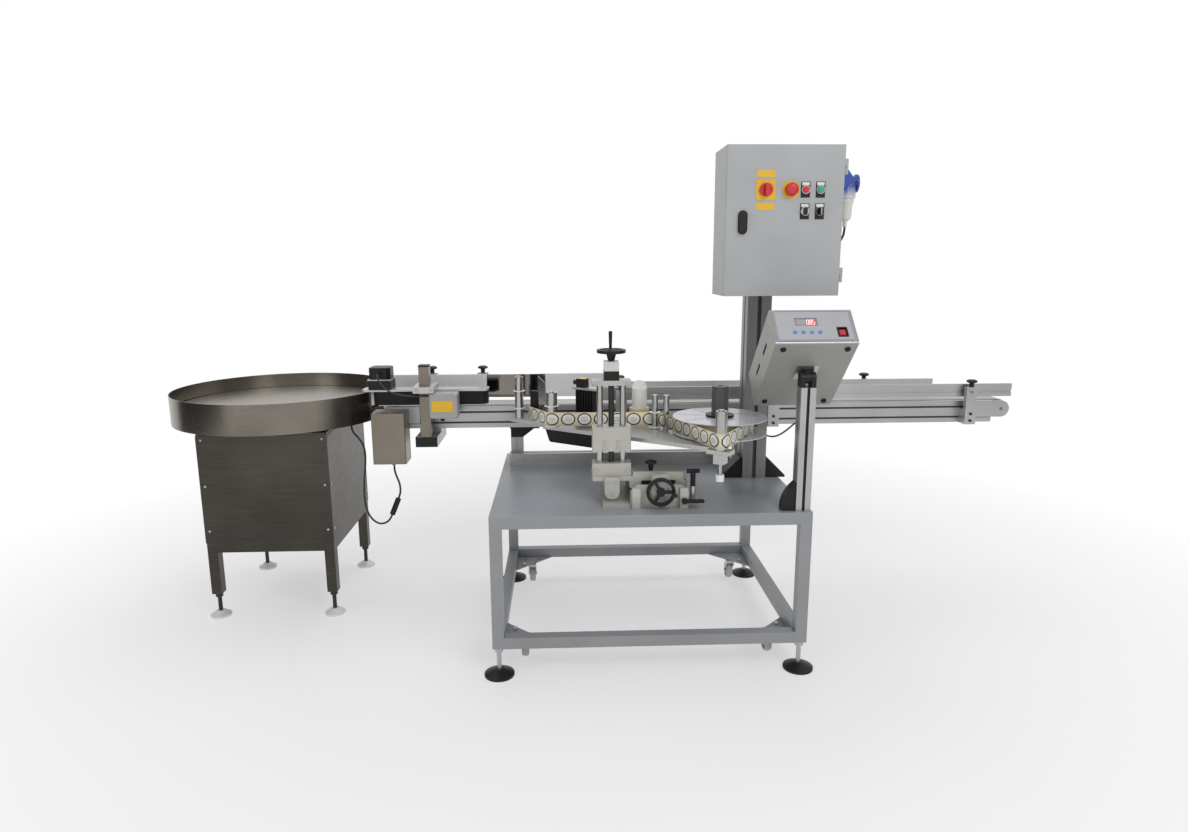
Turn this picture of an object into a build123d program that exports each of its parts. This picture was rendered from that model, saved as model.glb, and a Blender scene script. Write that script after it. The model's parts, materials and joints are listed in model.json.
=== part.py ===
import os
from math import cos, radians, sin, tan

from build123d import *

os.makedirs("parts", exist_ok=True)

# Driving dimensions, in millimetres. Positions are measured from the middle of the cart's
# front face at floor level: X to the right, Y to the back, Z up.

# Cart
cart_width = 1088
cart_depth = 885
cart_height = 579
tube = 40
weld_gap = 0.2
sheet = 3
lower_rail_height = 105
corner_plate_size = 150
corner_plate_thick = 5
foot_pad_diameter = 104
foot_pad_height = 24
foot_stud_diameter = 16
foot_inset = 20
castor_inset = 106
castor_wheel_diameter = 75
castor_wheel_width = 24
castor_floor_gap = 14
castor_axle_diameter = 8
castor_side_gap = 1.5
fork_thick = 3
running_gap = 0.05
clearance = 0.3

# Turntable
tray_x = -1467
tray_y = 796
tray_radius = 425
tray_wall = 2
rim_top = 900
rim_height = 118
disc_top = 840
disc_thick = 4
disc_gap = 6
pan_thick = 3
base_width = 500
base_depth = 550
base_leg = 40
base_panel_top = 752
base_panel_bottom = 316
base_leg_bottom = 100
base_panel_thick = 2
deck_thick = 8
tray_shaft_diameter = 40
base_pad_diameter = 80

# Conveyor
belt_top = 838
belt_width = 96
belt_thick = 6
belt_x_left = -1030
belt_x_right = 1562
conveyor_y = 720
side_section_height = 90
side_section_thick = 20
side_slot = 8
side_slot_depth = 4
roller_diameter = 60
roller_shaft_diameter = 14
nose_length = 75
cross_tie_diameter = 20
rail_top = 908
rail_height = 52
rail_thick = 12
rail_spread = 78
rail_front_left = -140
rail_front_right = 1559
rail_rear_left = -95
rail_bend_left = -615
rail_bend_right = -368
rail_bend_reach = 6
rail_rear_right = 1300
rail_rod_diameter = 12
rail_travel = 15
bracket_width = 45
bracket_thick = 22
knob_diameter = 42
knob_height = 30
knob_neck = 18

# Conveyor stand
stand_section = 50
stand_x_left = -488
stand_x_right = 450
beam_height = 53
beam_depth = 50
beam_left = -517
beam_y = 655

# Product spacer with its side belt
spacer_left = -1091
spacer_right = -592
spacer_front = 600
spacer_depth = 72
spacer_plate_thick = 8
spacer_plate_top = 914
spacer_belt_height = 50
spacer_belt_thick = 6
spacer_pulley_diameter = 56
spacer_pin_diameter = 14
spacer_post = 40
spacer_post_x = -836
spacer_post_y = 577
spacer_post_top = 1009
spacer_arm_width = 86
spacer_arm_height = 40
spacer_arm_top = 730
motor_size = 84
motor_corner = 14
motor_height = 46
gear_head_size = 88
gear_head_height = 38
gear_head_lip = 4

# Boxes on the conveyor
drive_box_width = 130
drive_box_depth = 100
drive_box_height = 204
drive_box_x = -982
drive_box_top = 828
terminal_box_width = 110
terminal_box_depth = 60
terminal_box_height = 100
terminal_box_bottom = 807

# Column and cabinet
column_section = 90
column_x = 445
column_y = 475
column_slot = 14
column_slot_depth = 7
cabinet_width = 400
cabinet_height = 500
cabinet_depth = 190
cabinet_bottom = 1290
cabinet_x = 465
cabinet_wall = 2
cabinet_lip = 18
door_thick = 20
door_skin = 2
door_gap = 2
hinge_pin_diameter = 8
hinge_height = 50
hinge_inset = 70
switch_row_rise = 354
lower_row_rise = 283
switch_offset = -67
emergency_offset = 18
stop_offset = 68
start_offset = 119
latch_inset = 57
latch_rise = 247
latch_length = 78
latch_width = 31
latch_height = 12
latch_stem_diameter = 12
main_plate = 66
main_knob = 44
main_knob_base = 10
main_knob_grip = 16
emergency_collar = 60
mushroom_diameter = 44
mushroom_height = 18
bezel_diameter = 29
bezel_height = 4
selector_grip = 12
legend_width = 31
legend_height = 52
button_diameter = 22
button_travel = 4
mushroom_travel = 6
plate_thick = 1.5

# Control box on its post
control_width = 268
control_height = 141
control_depth = 347
control_tilt = 45
control_x = 514
control_post_section = 50
control_post_y = 40
control_post_top = 1000
control_pivot_z = 1030
control_reach = 151
case_drop = 24
case_wall = 2
case_round = 5
display_x = -23
display_z = 16
display_width = 74
display_height = 33
key_x = -25
key_z = -28
key_pitch = 27
key_diameter = 13
rocker_x = 88
rocker_z = -27
rocker_width = 20
rocker_height = 26
rocker_room = 3
rocker_rise = 4
rocker_depth = 14
vent_pitch = 110
vent_length = 60
vent_width = 14
lead_exit_z = 870

# Cross slide and lift
slide_x = 36
slide_base_x = 9
slide_base_width = 338
slide_front = 85
slide_length = 240
slide_plate_thick = 12
slide_rail_spread = 80
slide_rail_width = 24
slide_rail_height = 44
slide_screw_diameter = 16
slide_screw_z = 641
slide_block_height = 64
slide_block_thick = 16
indicator_width = 56
indicator_depth = 22
indicator_top = 692
handwheel_diameter = 100
handwheel_rim = 12
handwheel_thick = 12
handwheel_hub = 30
grip_length = 42
wheel_gap = 4
claw_spread = 82
claw_width = 28
claw_height = 58
claw_depth = 18
lever_x = 118
lever_z = 606
lever_pin = 10
lever_thick = 14
lever_length = 68
handle_x = 152
handle_y = 100
handle_stem = 10
handle_seat = 12
handle_height = 52
handle_bar = 44
shoe_height = 26
carriage_thick = 16
carriage_depth = 130
nut_width = 50
nut_depth = 40
apron_height = 14
foot_plate_width = 52
foot_plate_bottom = 600
tower_x = -126
tower_y = 172
tower_block_width = 134
tower_block_depth = 64
tower_lower_height = 44
tower_upper_height = 17
tower_upper_bottom = 994
tower_rod_diameter = 22
tower_rod_spread = 40
lift_indicator_height = 64
lift_neck = 24
lift_grip = 58
lift_screw_diameter = 20
lift_height = 85
lift_bottom = 764
shelf_width = 92
shelf_reach = 100
shelf_thick = 16

# Labelling head, placed by u along its front edge and v to its back
head_x = -371
head_y = 425
head_turn = -34.6
head_length = 700
head_depth = 300
head_cut_u = 180
head_cut_v = 180
head_top = 800
head_plate_thick = 14
head_cover_drop = 62
head_cover_length = 250
head_cover_depth = 150
cover_u = -15
cover_v = 32
web_height = 52
web_bottom = 807
web_thick = 0.8
web_gap = 0.6
roll_pin_diameter = 12
guide_u = 46
guide_v = -5
ring_reach = 6
ring_thick = 3.5
guide_roller_diameter = 42
guide_ring_rise = 20
guide_roller_height = 130
arm_reach = 190
arm_width = 50
press_u = -167
press_v = 72
press_lift = 38
press_roller_diameter = 34
press_roller_height = 126
peel_u = -62
peel_length = 34
peel_thick = 4
peel_height = 178
peel_slant = 26
peel_block_length = 34
peel_block_thick = 16
peel_block_height = 118
peel_web_v = 40
sensor_u = 120
sensor_v = 124
sensor_length = 82
sensor_depth = 34
sensor_height = 130
fin_pitch = 12
fin_gap = 6
fin_depth = 12
sensor_cap_length = 112
sensor_cap_thick = 8
eye_length = 38
eye_depth = 30
eye_height = 34
eye_knob = 18
post_one_u = 388
post_one_v = 173
post_two_u = 427
post_two_v = 188
post_diameter = 22
post_collar = 40
spool_u = 280
spool_v = 248
spool_diameter = 58
spool_liner = 76
spool_flange = 84
spool_height = 128
reel_u = 625
reel_v = 222
reel_radius = 168
reel_disc_thick = 3
reel_roll_radius = 120
reel_core_diameter = 60
reel_core_top = 972
hub_flange = 100
hub_flange_thick = 8
spindle_diameter = 20
tension_u = 736
tension_v = -22
tension_reach = 60
tension_roller_diameter = 38
tension_block = 36
tension_block_height = 30
tension_rod = 12
tension_rod_length = 38
tension_cup = 28
tension_cup_height = 22
collar_roof = 3

# Power outlet
outlet_rise = 378
outlet_width = 76
outlet_height = 150
outlet_flange = 8
socket_diameter = 62
socket_height = 44
plug_diameter = 46
plug_length = 98

# Leads
lead_diameter = 8
thin_lead_diameter = 6
gland_diameter = 16
gland_length = 14
connector_diameter = 22
connector_length = 74
tray_gland_x = -1150
tray_gland_y = 640
drive_gland_x = -977
drive_gland_y = 594
supply_gland_z = 1406
control_gland_x = 470
control_gland_z = 760
motor_gland_rise = 66
motor_lead_end_z = 896

# Worked-out places
standing = (Align.CENTER, Align.CENTER, Align.MIN)
hanging = (Align.CENTER, Align.CENTER, Align.MAX)
from_front = (Align.CENTER, Align.MIN, Align.MIN)
top_rail_height = cart_height - sheet - tube
conveyor_bottom = belt_top - belt_thick - side_section_height + 4
side_top = conveyor_bottom + side_section_height
side_y = belt_width / 2 + 2 + side_section_thick / 2
column_front = column_y - column_section / 2
column_right = column_x + column_section / 2
cabinet_back = column_front
cabinet_front = cabinet_back - cabinet_depth
door_front = cabinet_front - door_gap - door_thick
cabinet_top = cabinet_bottom + cabinet_height
switch_row = cabinet_bottom + switch_row_rise
lower_row = cabinet_bottom + lower_row_rise
switch_x = cabinet_x + switch_offset
emergency_x = cabinet_x + emergency_offset
stop_x = cabinet_x + stop_offset
start_x = cabinet_x + start_offset
latch_x = cabinet_x - cabinet_width / 2 + latch_inset
latch_z = cabinet_bottom + latch_rise
outlet_z = cabinet_bottom + outlet_rise
cabinet_mid = (cabinet_bottom + cabinet_top) / 2
head_plane = Plane((head_x, head_y, head_top), x_dir=(cos(radians(head_turn)), sin(radians(head_turn)), 0))
pieces = {}


def slotted_section(width, height, slot, depth):
    """Rectangle with one groove in the middle of each face, as an aluminium section has."""
    with BuildSketch() as section:
        Rectangle(width, height)
        with Locations((0, height / 2), (0, -height / 2)):
            Rectangle(slot, 2 * depth, mode=Mode.SUBTRACT)
        with Locations((width / 2, 0), (-width / 2, 0)):
            Rectangle(2 * depth, slot, mode=Mode.SUBTRACT)
    return section.sketch


def keep(name, builder):
    """Hold a finished piece under the name that its file gets."""
    pieces[name] = builder


# Cart: welded square tubes with corner plates
leg_x = (cart_width - tube) / 2
leg_y = cart_depth / 2 - tube / 2
leg_length = cart_height - sheet - lower_rail_height
with BuildPart() as table_frame:
    with Locations((0, cart_depth / 2, lower_rail_height)):
        with GridLocations(2 * leg_x, 2 * leg_y, 2, 2):
            Box(tube, tube, leg_length, align=standing)
    for rail_z in (lower_rail_height, top_rail_height):
        with Locations((0, cart_depth / 2, rail_z)):
            with GridLocations(0, 2 * leg_y, 1, 2):
                Box(cart_width - 2 * tube - 2 * weld_gap, tube, tube,
                    align=standing)
            with GridLocations(2 * leg_x, 0, 2, 1):
                Box(tube, cart_depth - 2 * tube - 2 * weld_gap, tube,
                    align=standing)
    for turn in range(4):
        sign_x = 1 if turn in (0, 3) else -1
        sign_y = 1 if turn in (0, 1) else -1
        corner = (sign_x * (cart_width / 2 - tube - weld_gap),
                  cart_depth / 2 + sign_y * (cart_depth / 2 - tube - weld_gap))
        with BuildSketch(Plane.XY.offset(lower_rail_height)):
            with BuildLine():
                Polyline(corner, (corner[0] - sign_x * corner_plate_size, corner[1]),
                         (corner[0], corner[1] - sign_y * corner_plate_size), close=True)
            make_face()
        extrude(amount=corner_plate_thick)
keep("table_frame", table_frame)

with BuildPart() as table_top:
    with Locations((0, cart_depth / 2, cart_height - sheet)):
        Box(cart_width, cart_depth, sheet, align=standing)
    fillet(table_top.edges().filter_by(Axis.Z), tube / 8)
keep("table_top", table_top)


def foot_outline(pad_diameter, stud_top):
    """Half outline of a levelling foot: domed pad, stud and lock nut."""
    nut_radius = foot_stud_diameter * 0.9
    with BuildSketch(Plane.XZ) as outline:
        with BuildLine():
            edge = Line((0, 0), (pad_diameter / 2, 0))
            rise = Line(edge @ 1, (pad_diameter / 2, foot_pad_height / 3))
            dome = ThreePointArc(rise @ 1, (pad_diameter / 3.2, foot_pad_height * 0.72),
                                 (foot_stud_diameter, foot_pad_height))
            Polyline(dome @ 1, (foot_stud_diameter / 2, foot_pad_height),
                     (foot_stud_diameter / 2, stud_top - foot_stud_diameter),
                     (nut_radius, stud_top - foot_stud_diameter), (nut_radius, stud_top), (0, stud_top),
                     (0, 0))
        make_face()
    return outline.sketch


cart_foot_x = cart_width / 2 - foot_inset
cart_foot_y = cart_depth / 2 - foot_inset
base_foot_x = (base_width - base_leg) / 2
base_foot_y = (base_depth - base_leg) / 2
with BuildPart() as cart_foot:
    add(foot_outline(foot_pad_diameter, lower_rail_height))
    revolve(axis=Axis.Z)
with BuildPart() as base_foot:
    add(foot_outline(base_pad_diameter, base_leg_bottom))
    revolve(axis=Axis.Z)
with BuildPart() as levelling_feet:
    with Locations((0, cart_depth / 2)):
        with GridLocations(2 * cart_foot_x, 2 * cart_foot_y, 2, 2):
            add(cart_foot.part)
    with Locations((tray_x, tray_y)):
        with GridLocations(2 * base_foot_x, 2 * base_foot_y, 2, 2):
            add(base_foot.part)
keep("levelling_feet", levelling_feet)

# Castors: forks bolted under the corner plates, each with a wheel on its axle
axle_z = castor_floor_gap + castor_wheel_diameter / 2
fork_inner = castor_wheel_width / 2 + castor_side_gap
fork_trail = castor_wheel_diameter * 0.3
castor_spots = {
    "front_left": (-cart_width / 2 + castor_inset, castor_inset),
    "front_right": (cart_width / 2 - castor_inset, castor_inset),
    "rear_left": (-cart_width / 2 + castor_inset, cart_depth - castor_inset),
    "rear_right": (cart_width / 2 - castor_inset, cart_depth - castor_inset),
}
fork_top = lower_rail_height
crown_z = castor_floor_gap + castor_wheel_diameter + 4
with BuildPart() as castor_fork:
    with BuildSketch(Plane.YZ.offset(fork_inner)):
        with BuildLine():
            Polyline((-castor_wheel_diameter / 4, crown_z), (castor_wheel_diameter / 4, crown_z),
                     (fork_trail + castor_axle_diameter, axle_z),
                     (fork_trail, axle_z - castor_axle_diameter * 1.5),
                     (fork_trail - castor_axle_diameter, axle_z), close=True)
        make_face()
    extrude(amount=fork_thick)
    mirror(about=Plane.YZ)
    with Locations((0, 0, crown_z)):
        Box(2 * (fork_inner + fork_thick), castor_wheel_diameter / 2, fork_top - crown_z,
            align=standing)
    with Locations(Location((0, fork_trail, axle_z), (0, 90, 0))):
        Cylinder(castor_axle_diameter / 2, 2 * (fork_inner + fork_thick) + 6)
with BuildPart() as castor_forks:
    with Locations(*castor_spots.values()):
        add(castor_fork.part)
keep("castor_forks", castor_forks)

with BuildPart() as castor_wheel:
    with BuildSketch(Plane.XY):
        with BuildLine():
            bore = castor_axle_diameter / 2 + running_gap
            rim = castor_wheel_diameter / 2
            half = castor_wheel_width / 2
            Polyline((bore, -half), (rim * 0.45, -half), (rim * 0.55, -half * 0.55),
                     (rim * 0.72, -half * 0.55), (rim * 0.76, -half), (rim - 4, -half))
            ThreePointArc((rim - 4, -half), (rim, 0), (rim - 4, half))
            Polyline((rim - 4, half), (rim * 0.76, half), (rim * 0.72, half * 0.55),
                     (rim * 0.55, half * 0.55), (rim * 0.45, half), (bore, half), (bore, -half))
        make_face()
    revolve(axis=Axis.Y)
for spot, (castor_x, castor_y) in castor_spots.items():
    with BuildPart() as placed_wheel:
        with Locations(Location((castor_x, castor_y + fork_trail, axle_z), (0, 0, 90))):
            add(castor_wheel.part)
    keep("castor_wheel_" + spot, placed_wheel)

# Turntable: legs, closed panels and a deck that carries the drive
rim_bottom = rim_top - rim_height
panel_width = base_width + 2 * base_panel_thick
rail_width = base_width - 2 * base_leg - 2 * weld_gap
rail_depth = base_depth - 2 * base_leg - 2 * weld_gap
panel_height = base_panel_top - base_panel_bottom
with BuildPart() as turntable_base:
    with Locations((tray_x, tray_y, base_leg_bottom)):
        with GridLocations(base_width - base_leg, base_depth - base_leg, 2, 2):
            Box(base_leg, base_leg, base_panel_top - base_leg_bottom,
                align=standing)
    with Locations((tray_x, tray_y, base_panel_bottom)):
        with GridLocations(0, base_depth + base_panel_thick, 1, 2):
            Box(panel_width, base_panel_thick, panel_height, align=standing)
        with GridLocations(base_width + base_panel_thick, 0, 2, 1):
            Box(base_panel_thick, base_depth, panel_height, align=standing)
    with Locations((tray_x, tray_y, base_panel_bottom - base_leg)):
        with GridLocations(0, base_depth - base_leg, 1, 2):
            Box(rail_width, base_leg, base_leg - weld_gap, align=standing)
        with GridLocations(base_width - base_leg, 0, 2, 1):
            Box(base_leg, rail_depth, base_leg - weld_gap, align=standing)
    with BuildSketch(Plane.XY.offset(base_panel_top + weld_gap)):
        with Locations((tray_x, tray_y)):
            Rectangle(base_width, base_depth)
            Circle(tray_shaft_diameter / 2 + clearance, mode=Mode.SUBTRACT)
    extrude(amount=deck_thick)
keep("turntable_base", turntable_base)

pan_bottom = base_panel_top + weld_gap + deck_thick
exit_half = belt_width / 2 + 20
with BuildPart() as tray_rim:
    with BuildSketch(Plane.XY.offset(rim_bottom)):
        with Locations((tray_x, tray_y)):
            Circle(tray_radius)
            Circle(tray_radius - tray_wall, mode=Mode.SUBTRACT)
    extrude(amount=rim_height)
    with BuildSketch(Plane.XY.offset(rim_bottom)):
        with Locations((tray_x, tray_y)):
            Circle(tray_radius)
            Circle(tray_shaft_diameter / 2 + clearance, mode=Mode.SUBTRACT)
    extrude(amount=pan_thick)
    with BuildSketch(Plane.XY.offset(pan_bottom)):
        with Locations((tray_x, tray_y)):
            Circle(base_width * 0.3)
            Circle(tray_shaft_diameter / 2 + clearance, mode=Mode.SUBTRACT)
    extrude(until=Until.NEXT)
    with Locations((tray_gland_x, tray_gland_y, rim_bottom)):
        Cylinder(gland_diameter / 2, gland_length, align=hanging)
    with Locations((tray_x + tray_radius, conveyor_y, disc_top - 8)):
        Box(tray_radius / 2, 2 * exit_half, rim_height,
            align=standing, mode=Mode.SUBTRACT)
keep("tray_rim", tray_rim)

with BuildPart() as tray_disc:
    with Locations((tray_x, tray_y, disc_top - disc_thick)):
        Cylinder(tray_radius - tray_wall - disc_gap, disc_thick, align=standing)
    with Locations((tray_x, tray_y, disc_top - disc_thick)):
        Cylinder(base_width * 0.2, 12, align=hanging)
    shaft_bottom = base_panel_top - 30
    with Locations((tray_x, tray_y, shaft_bottom)):
        Cylinder(tray_shaft_diameter / 2, disc_top - disc_thick - shaft_bottom,
                 align=standing)
    fillet(tray_disc.edges().group_by(Axis.Z)[-1], disc_thick / 4)
keep("tray_disc", tray_disc)

# Conveyor: slotted side sections, nose plates, cross ties, belt and its two rollers
side_back = conveyor_y + side_y + side_section_thick / 2
side_front = conveyor_y - side_y - side_section_thick / 2
roller_z = belt_top - belt_thick - roller_diameter / 2
loop_radius = roller_diameter / 2 + belt_thick
roller_left = belt_x_left + loop_radius
roller_right = belt_x_right - loop_radius
side_left = roller_left + loop_radius
side_right = roller_right - loop_radius
nose_thick = 8
nose_overlap = 1.6 * nose_length
tie_pitch = 420
tie_count = int((side_right - side_left) / tie_pitch)
with BuildPart() as conveyor_frame:
    with BuildSketch(Plane.YZ.offset(side_left)):
        with Locations((conveyor_y - side_y, conveyor_bottom + side_section_height / 2),
                       (conveyor_y + side_y, conveyor_bottom + side_section_height / 2)):
            Rectangle(side_section_thick, side_section_height)
        for share in (0.25, 0.72):
            slot_z = conveyor_bottom + side_section_height * share
            with Locations((side_front, slot_z), (side_back, slot_z)):
                Rectangle(2 * side_slot_depth, side_slot, mode=Mode.SUBTRACT)
    extrude(amount=side_right - side_left)
    for end_x, way in ((roller_left, 1), (roller_right, -1)):
        for plate_y in (side_front, side_back + nose_thick):
            with BuildSketch(Plane.XZ.offset(-plate_y)):
                with Locations((end_x, roller_z)):
                    Circle(loop_radius - 2)
                with Locations((end_x + way * nose_overlap / 2, roller_z)):
                    Rectangle(nose_overlap, 2 * loop_radius - 4)
                with Locations((end_x, roller_z)):
                    Circle(roller_shaft_diameter / 2 + running_gap, mode=Mode.SUBTRACT)
            extrude(amount=nose_thick)
    with Locations(Location(((side_left + side_right) / 2, conveyor_y, roller_z), (90, 0, 0))):
        with GridLocations(tie_pitch, 0, tie_count, 1):
            Cylinder(cross_tie_diameter / 2, 2 * side_y)
keep("conveyor_frame", conveyor_frame)

with BuildPart() as conveyor_belt:
    with BuildSketch(Plane.XZ.offset(-conveyor_y)):
        with Locations(((roller_left + roller_right) / 2, roller_z)):
            SlotCenterToCenter(roller_right - roller_left, 2 * loop_radius)
            SlotCenterToCenter(roller_right - roller_left, roller_diameter + 2 * clearance,
                               mode=Mode.SUBTRACT)
    extrude(amount=belt_width / 2, both=True)
keep("conveyor_belt", conveyor_belt)

drive_box_back = side_front - nose_thick
drive_box_front = drive_box_back - drive_box_depth
shaft_reach = 30
with BuildPart() as drive_roller:
    with Locations(Location((roller_left, conveyor_y, roller_z), (90, 0, 0))):
        Cylinder(roller_diameter / 2, belt_width)
    with Locations(Location((roller_left, side_back + nose_thick, roller_z), (90, 0, 0))):
        Cylinder(roller_shaft_diameter / 2, side_back + nose_thick - (drive_box_back - shaft_reach),
                 align=standing)
keep("drive_roller", drive_roller)

with BuildPart() as tail_roller:
    with Locations(Location((roller_right, conveyor_y, roller_z), (90, 0, 0))):
        Cylinder(roller_diameter / 2, belt_width)
        Cylinder(roller_shaft_diameter / 2, 2 * (side_y + side_section_thick / 2 + nose_thick))
keep("tail_roller", tail_roller)

drive_box_bottom = drive_box_top - drive_box_height
drive_box_wall = 2
with BuildPart() as drive_box:
    with Locations((drive_box_x, drive_box_back, drive_box_bottom)):
        Box(drive_box_width, drive_box_depth, drive_box_height, align=(Align.CENTER, Align.MAX, Align.MIN))
    fillet(drive_box.edges().filter_by(Axis.Z).group_by(Axis.Y)[0], 4)
    back = drive_box.faces().sort_by(Axis.Y)[-1]
    offset(amount=-drive_box_wall, openings=back)
    with Locations((drive_gland_x, drive_gland_y, drive_box_bottom)):
        Cylinder(gland_diameter / 2, gland_length, align=hanging)
keep("drive_box", drive_box)

# Gear motors: under the turntable deck, inside the drive box and on the spacer
gearbox_size = 110
gearbox_height = 90
motor_body_diameter = 82
motor_body_length = 140
shaft_seat = base_panel_top - shaft_bottom
conveyor_gearbox_width = 60
drive_motor_bottom = drive_box_bottom + 20
pulley_x = spacer_left + 74
spacer_y = spacer_front + spacer_depth / 2
with BuildPart() as gear_motors:
    with Locations((tray_x, tray_y, base_panel_top + weld_gap)):
        Box(gearbox_size, gearbox_size, gearbox_height, align=hanging)
        Cylinder(tray_shaft_diameter / 2 + running_gap, shaft_seat + 2 * clearance + weld_gap,
                 align=hanging, mode=Mode.SUBTRACT)
    motor_z = base_panel_top - gearbox_height / 2
    with Locations(Location((tray_x + gearbox_size / 2, tray_y, motor_z), (0, 90, 0))):
        Cylinder(motor_body_diameter / 2, motor_body_length, align=standing)
    with Locations((roller_left, drive_box_back - weld_gap, roller_z)):
        Box(conveyor_gearbox_width, conveyor_gearbox_width, conveyor_gearbox_width * 0.7,
            align=(Align.CENTER, Align.MAX, Align.CENTER))
    drive_motor_y = drive_box_back - weld_gap - conveyor_gearbox_width / 2
    with Locations((roller_left, drive_motor_y, drive_motor_bottom)):
        Cylinder(conveyor_gearbox_width * 0.45, roller_z - drive_motor_bottom, align=standing)
        Cylinder(conveyor_gearbox_width * 0.5, 8, align=standing)
    with Locations(Location((roller_left, drive_box_back, roller_z), (90, 0, 0))):
        Cylinder(roller_shaft_diameter / 2 + running_gap, shaft_reach + clearance,
                 align=standing, mode=Mode.SUBTRACT)
    with Locations((pulley_x, spacer_y, spacer_plate_top)):
        Box(gear_head_size, gear_head_size, gear_head_height, align=standing)
    with BuildSketch(Plane.XY.offset(spacer_plate_top + gear_head_height)):
        with Locations((pulley_x, spacer_y)):
            Rectangle(gear_head_size + gear_head_lip, gear_head_size + gear_head_lip)
    extrude(amount=gear_head_lip)
    motor_bottom = spacer_plate_top + gear_head_height + gear_head_lip
    with BuildSketch(Plane.XY.offset(motor_bottom)):
        with Locations((pulley_x, spacer_y)):
            Rectangle(motor_size, motor_size)
        chamfer(vertices(), motor_corner)
    extrude(amount=motor_height)
    fillet(gear_motors.edges().group_by(Axis.Z)[-1], motor_corner / 4)
    with Locations(Location((pulley_x, spacer_y - motor_size / 2, spacer_plate_top + motor_gland_rise),
                            (90, 0, 0))):
        Cylinder(gland_diameter / 2, gland_length, align=standing)
    with Locations((pulley_x, spacer_y, spacer_plate_top)):
        Cylinder(spacer_pin_diameter / 2 + running_gap, shaft_reach + clearance,
                 align=standing, mode=Mode.SUBTRACT)
keep("gear_motors", gear_motors)

# Stand: beam on the table, two posts with clamp heads, and the spacer's arm and post
stand_y = beam_y + beam_depth + stand_section / 2
clamp_height = 54
clamp_width = 120
clamp_plate = 8
beam_right = column_x - column_section / 2 - clearance
arm_bottom = spacer_arm_top - spacer_arm_height
arm_front = spacer_post_y - spacer_post / 2 - 4
with BuildPart() as conveyor_stand:
    with BuildSketch(Plane.YZ.offset(beam_left)):
        with Locations((beam_y + beam_depth / 2, cart_height + beam_height / 2)):
            add(slotted_section(beam_depth, beam_height, 10, 5))
    extrude(amount=beam_right - beam_left)
    for post_x in (stand_x_left, stand_x_right):
        post_left = post_x - stand_section / 2
        with BuildSketch(Plane.XY.offset(cart_height)):
            with Locations((post_x, stand_y + weld_gap)):
                add(slotted_section(stand_section, stand_section, 10, 5))
        extrude(amount=conveyor_bottom - clamp_height - cart_height)
        with Locations((post_x, stand_y + weld_gap, conveyor_bottom - clamp_height)):
            Box(stand_section, stand_section, clamp_height / 2, align=standing)
        with BuildSketch(Plane.XZ.offset(-stand_y - stand_section / 2)):
            with BuildLine():
                Polyline((post_left, conveyor_bottom - clamp_height), (post_left, conveyor_bottom),
                         (post_left + clamp_width, conveyor_bottom),
                         (post_left + stand_section, conveyor_bottom - clamp_height), close=True)
            make_face()
        extrude(amount=stand_section)
        with Locations((post_left, conveyor_y, conveyor_bottom)):
            Box(clamp_width, 2 * side_y, clamp_plate, align=(Align.MIN, Align.CENTER, Align.MAX))
    with Locations((spacer_post_x, arm_front, arm_bottom)):
        Box(spacer_arm_width, side_back - arm_front, spacer_arm_height,
            align=from_front)
    with Locations((spacer_post_x, conveyor_y, spacer_arm_top)):
        Box(spacer_arm_width, 2 * side_y, conveyor_bottom - spacer_arm_top,
            align=standing)
    with Locations((spacer_post_x, spacer_post_y, spacer_arm_top)):
        Box(spacer_post, spacer_post, spacer_post_top - spacer_arm_top,
            align=standing)
keep("conveyor_stand", conveyor_stand)

# Guide rails on rods that slide in clamp brackets with knobs
rail_bottom = rail_top - rail_height
rod_z = rail_top - 26
plate_top = 945
plate_left = belt_x_left + 10
plate_bottom = rail_bottom - 8
bend_sheet = 4
front_rail_y = conveyor_y - rail_spread
rear_rail_y = conveyor_y + rail_spread
bracket_gap = rail_thick / 2 + rail_travel + 1
front_brackets = (-60, 560, 1375)
rear_brackets = (-848, -634, -50, 560, 1013)
rod_length = bracket_gap + bracket_thick + rail_travel + 8
with BuildPart() as guide_rail_front:
    with BuildSketch(Plane.YZ.offset(rail_front_left)):
        with Locations((front_rail_y, rail_bottom + rail_height / 2)):
            Rectangle(rail_thick, rail_height)
        with Locations((front_rail_y - rail_thick / 2, rail_bottom + rail_height * 0.42)):
            Rectangle(rail_thick / 2, rail_height / 5, mode=Mode.SUBTRACT)
    extrude(amount=rail_front_right - rail_front_left)
    with Locations(*[Location((x, front_rail_y, rod_z), (90, 0, 0)) for x in front_brackets]):
        Cylinder(rail_rod_diameter / 2, rod_length, align=standing)
keep("guide_rail_front", guide_rail_front)

with BuildPart() as guide_rail_rear:
    with BuildSketch(Plane.YZ.offset(rail_rear_left)):
        with Locations((rear_rail_y, rail_bottom + rail_height / 2)):
            Rectangle(rail_thick, rail_height)
    extrude(amount=rail_rear_right - rail_rear_left)
    with BuildSketch(Plane.XY.offset(plate_bottom)):
        for part_left, part_right in ((plate_left, rail_bend_left), (rail_bend_right, rail_rear_left)):
            with Locations(((part_left + part_right) / 2, rear_rail_y)):
                Rectangle(part_right - part_left, rail_thick)
        with BuildLine():
            bend_mid = (rail_bend_left + rail_bend_right) / 2
            front = rear_rail_y - rail_thick / 2
            near_arc = ThreePointArc((rail_bend_left, front), (bend_mid, front - rail_bend_reach),
                                     (rail_bend_right, front))
            back_line = Line(near_arc @ 1, (rail_bend_right, front + bend_sheet))
            far_arc = ThreePointArc(back_line @ 1, (bend_mid, front - rail_bend_reach + bend_sheet),
                                    (rail_bend_left, front + bend_sheet))
            Line(far_arc @ 1, near_arc @ 0)
        make_face()
    extrude(amount=plate_top - plate_bottom)
    with Locations(*[Location((x, rear_rail_y, rod_z), (-90, 0, 0)) for x in rear_brackets]):
        Cylinder(rail_rod_diameter / 2, rod_length, align=standing)
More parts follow.
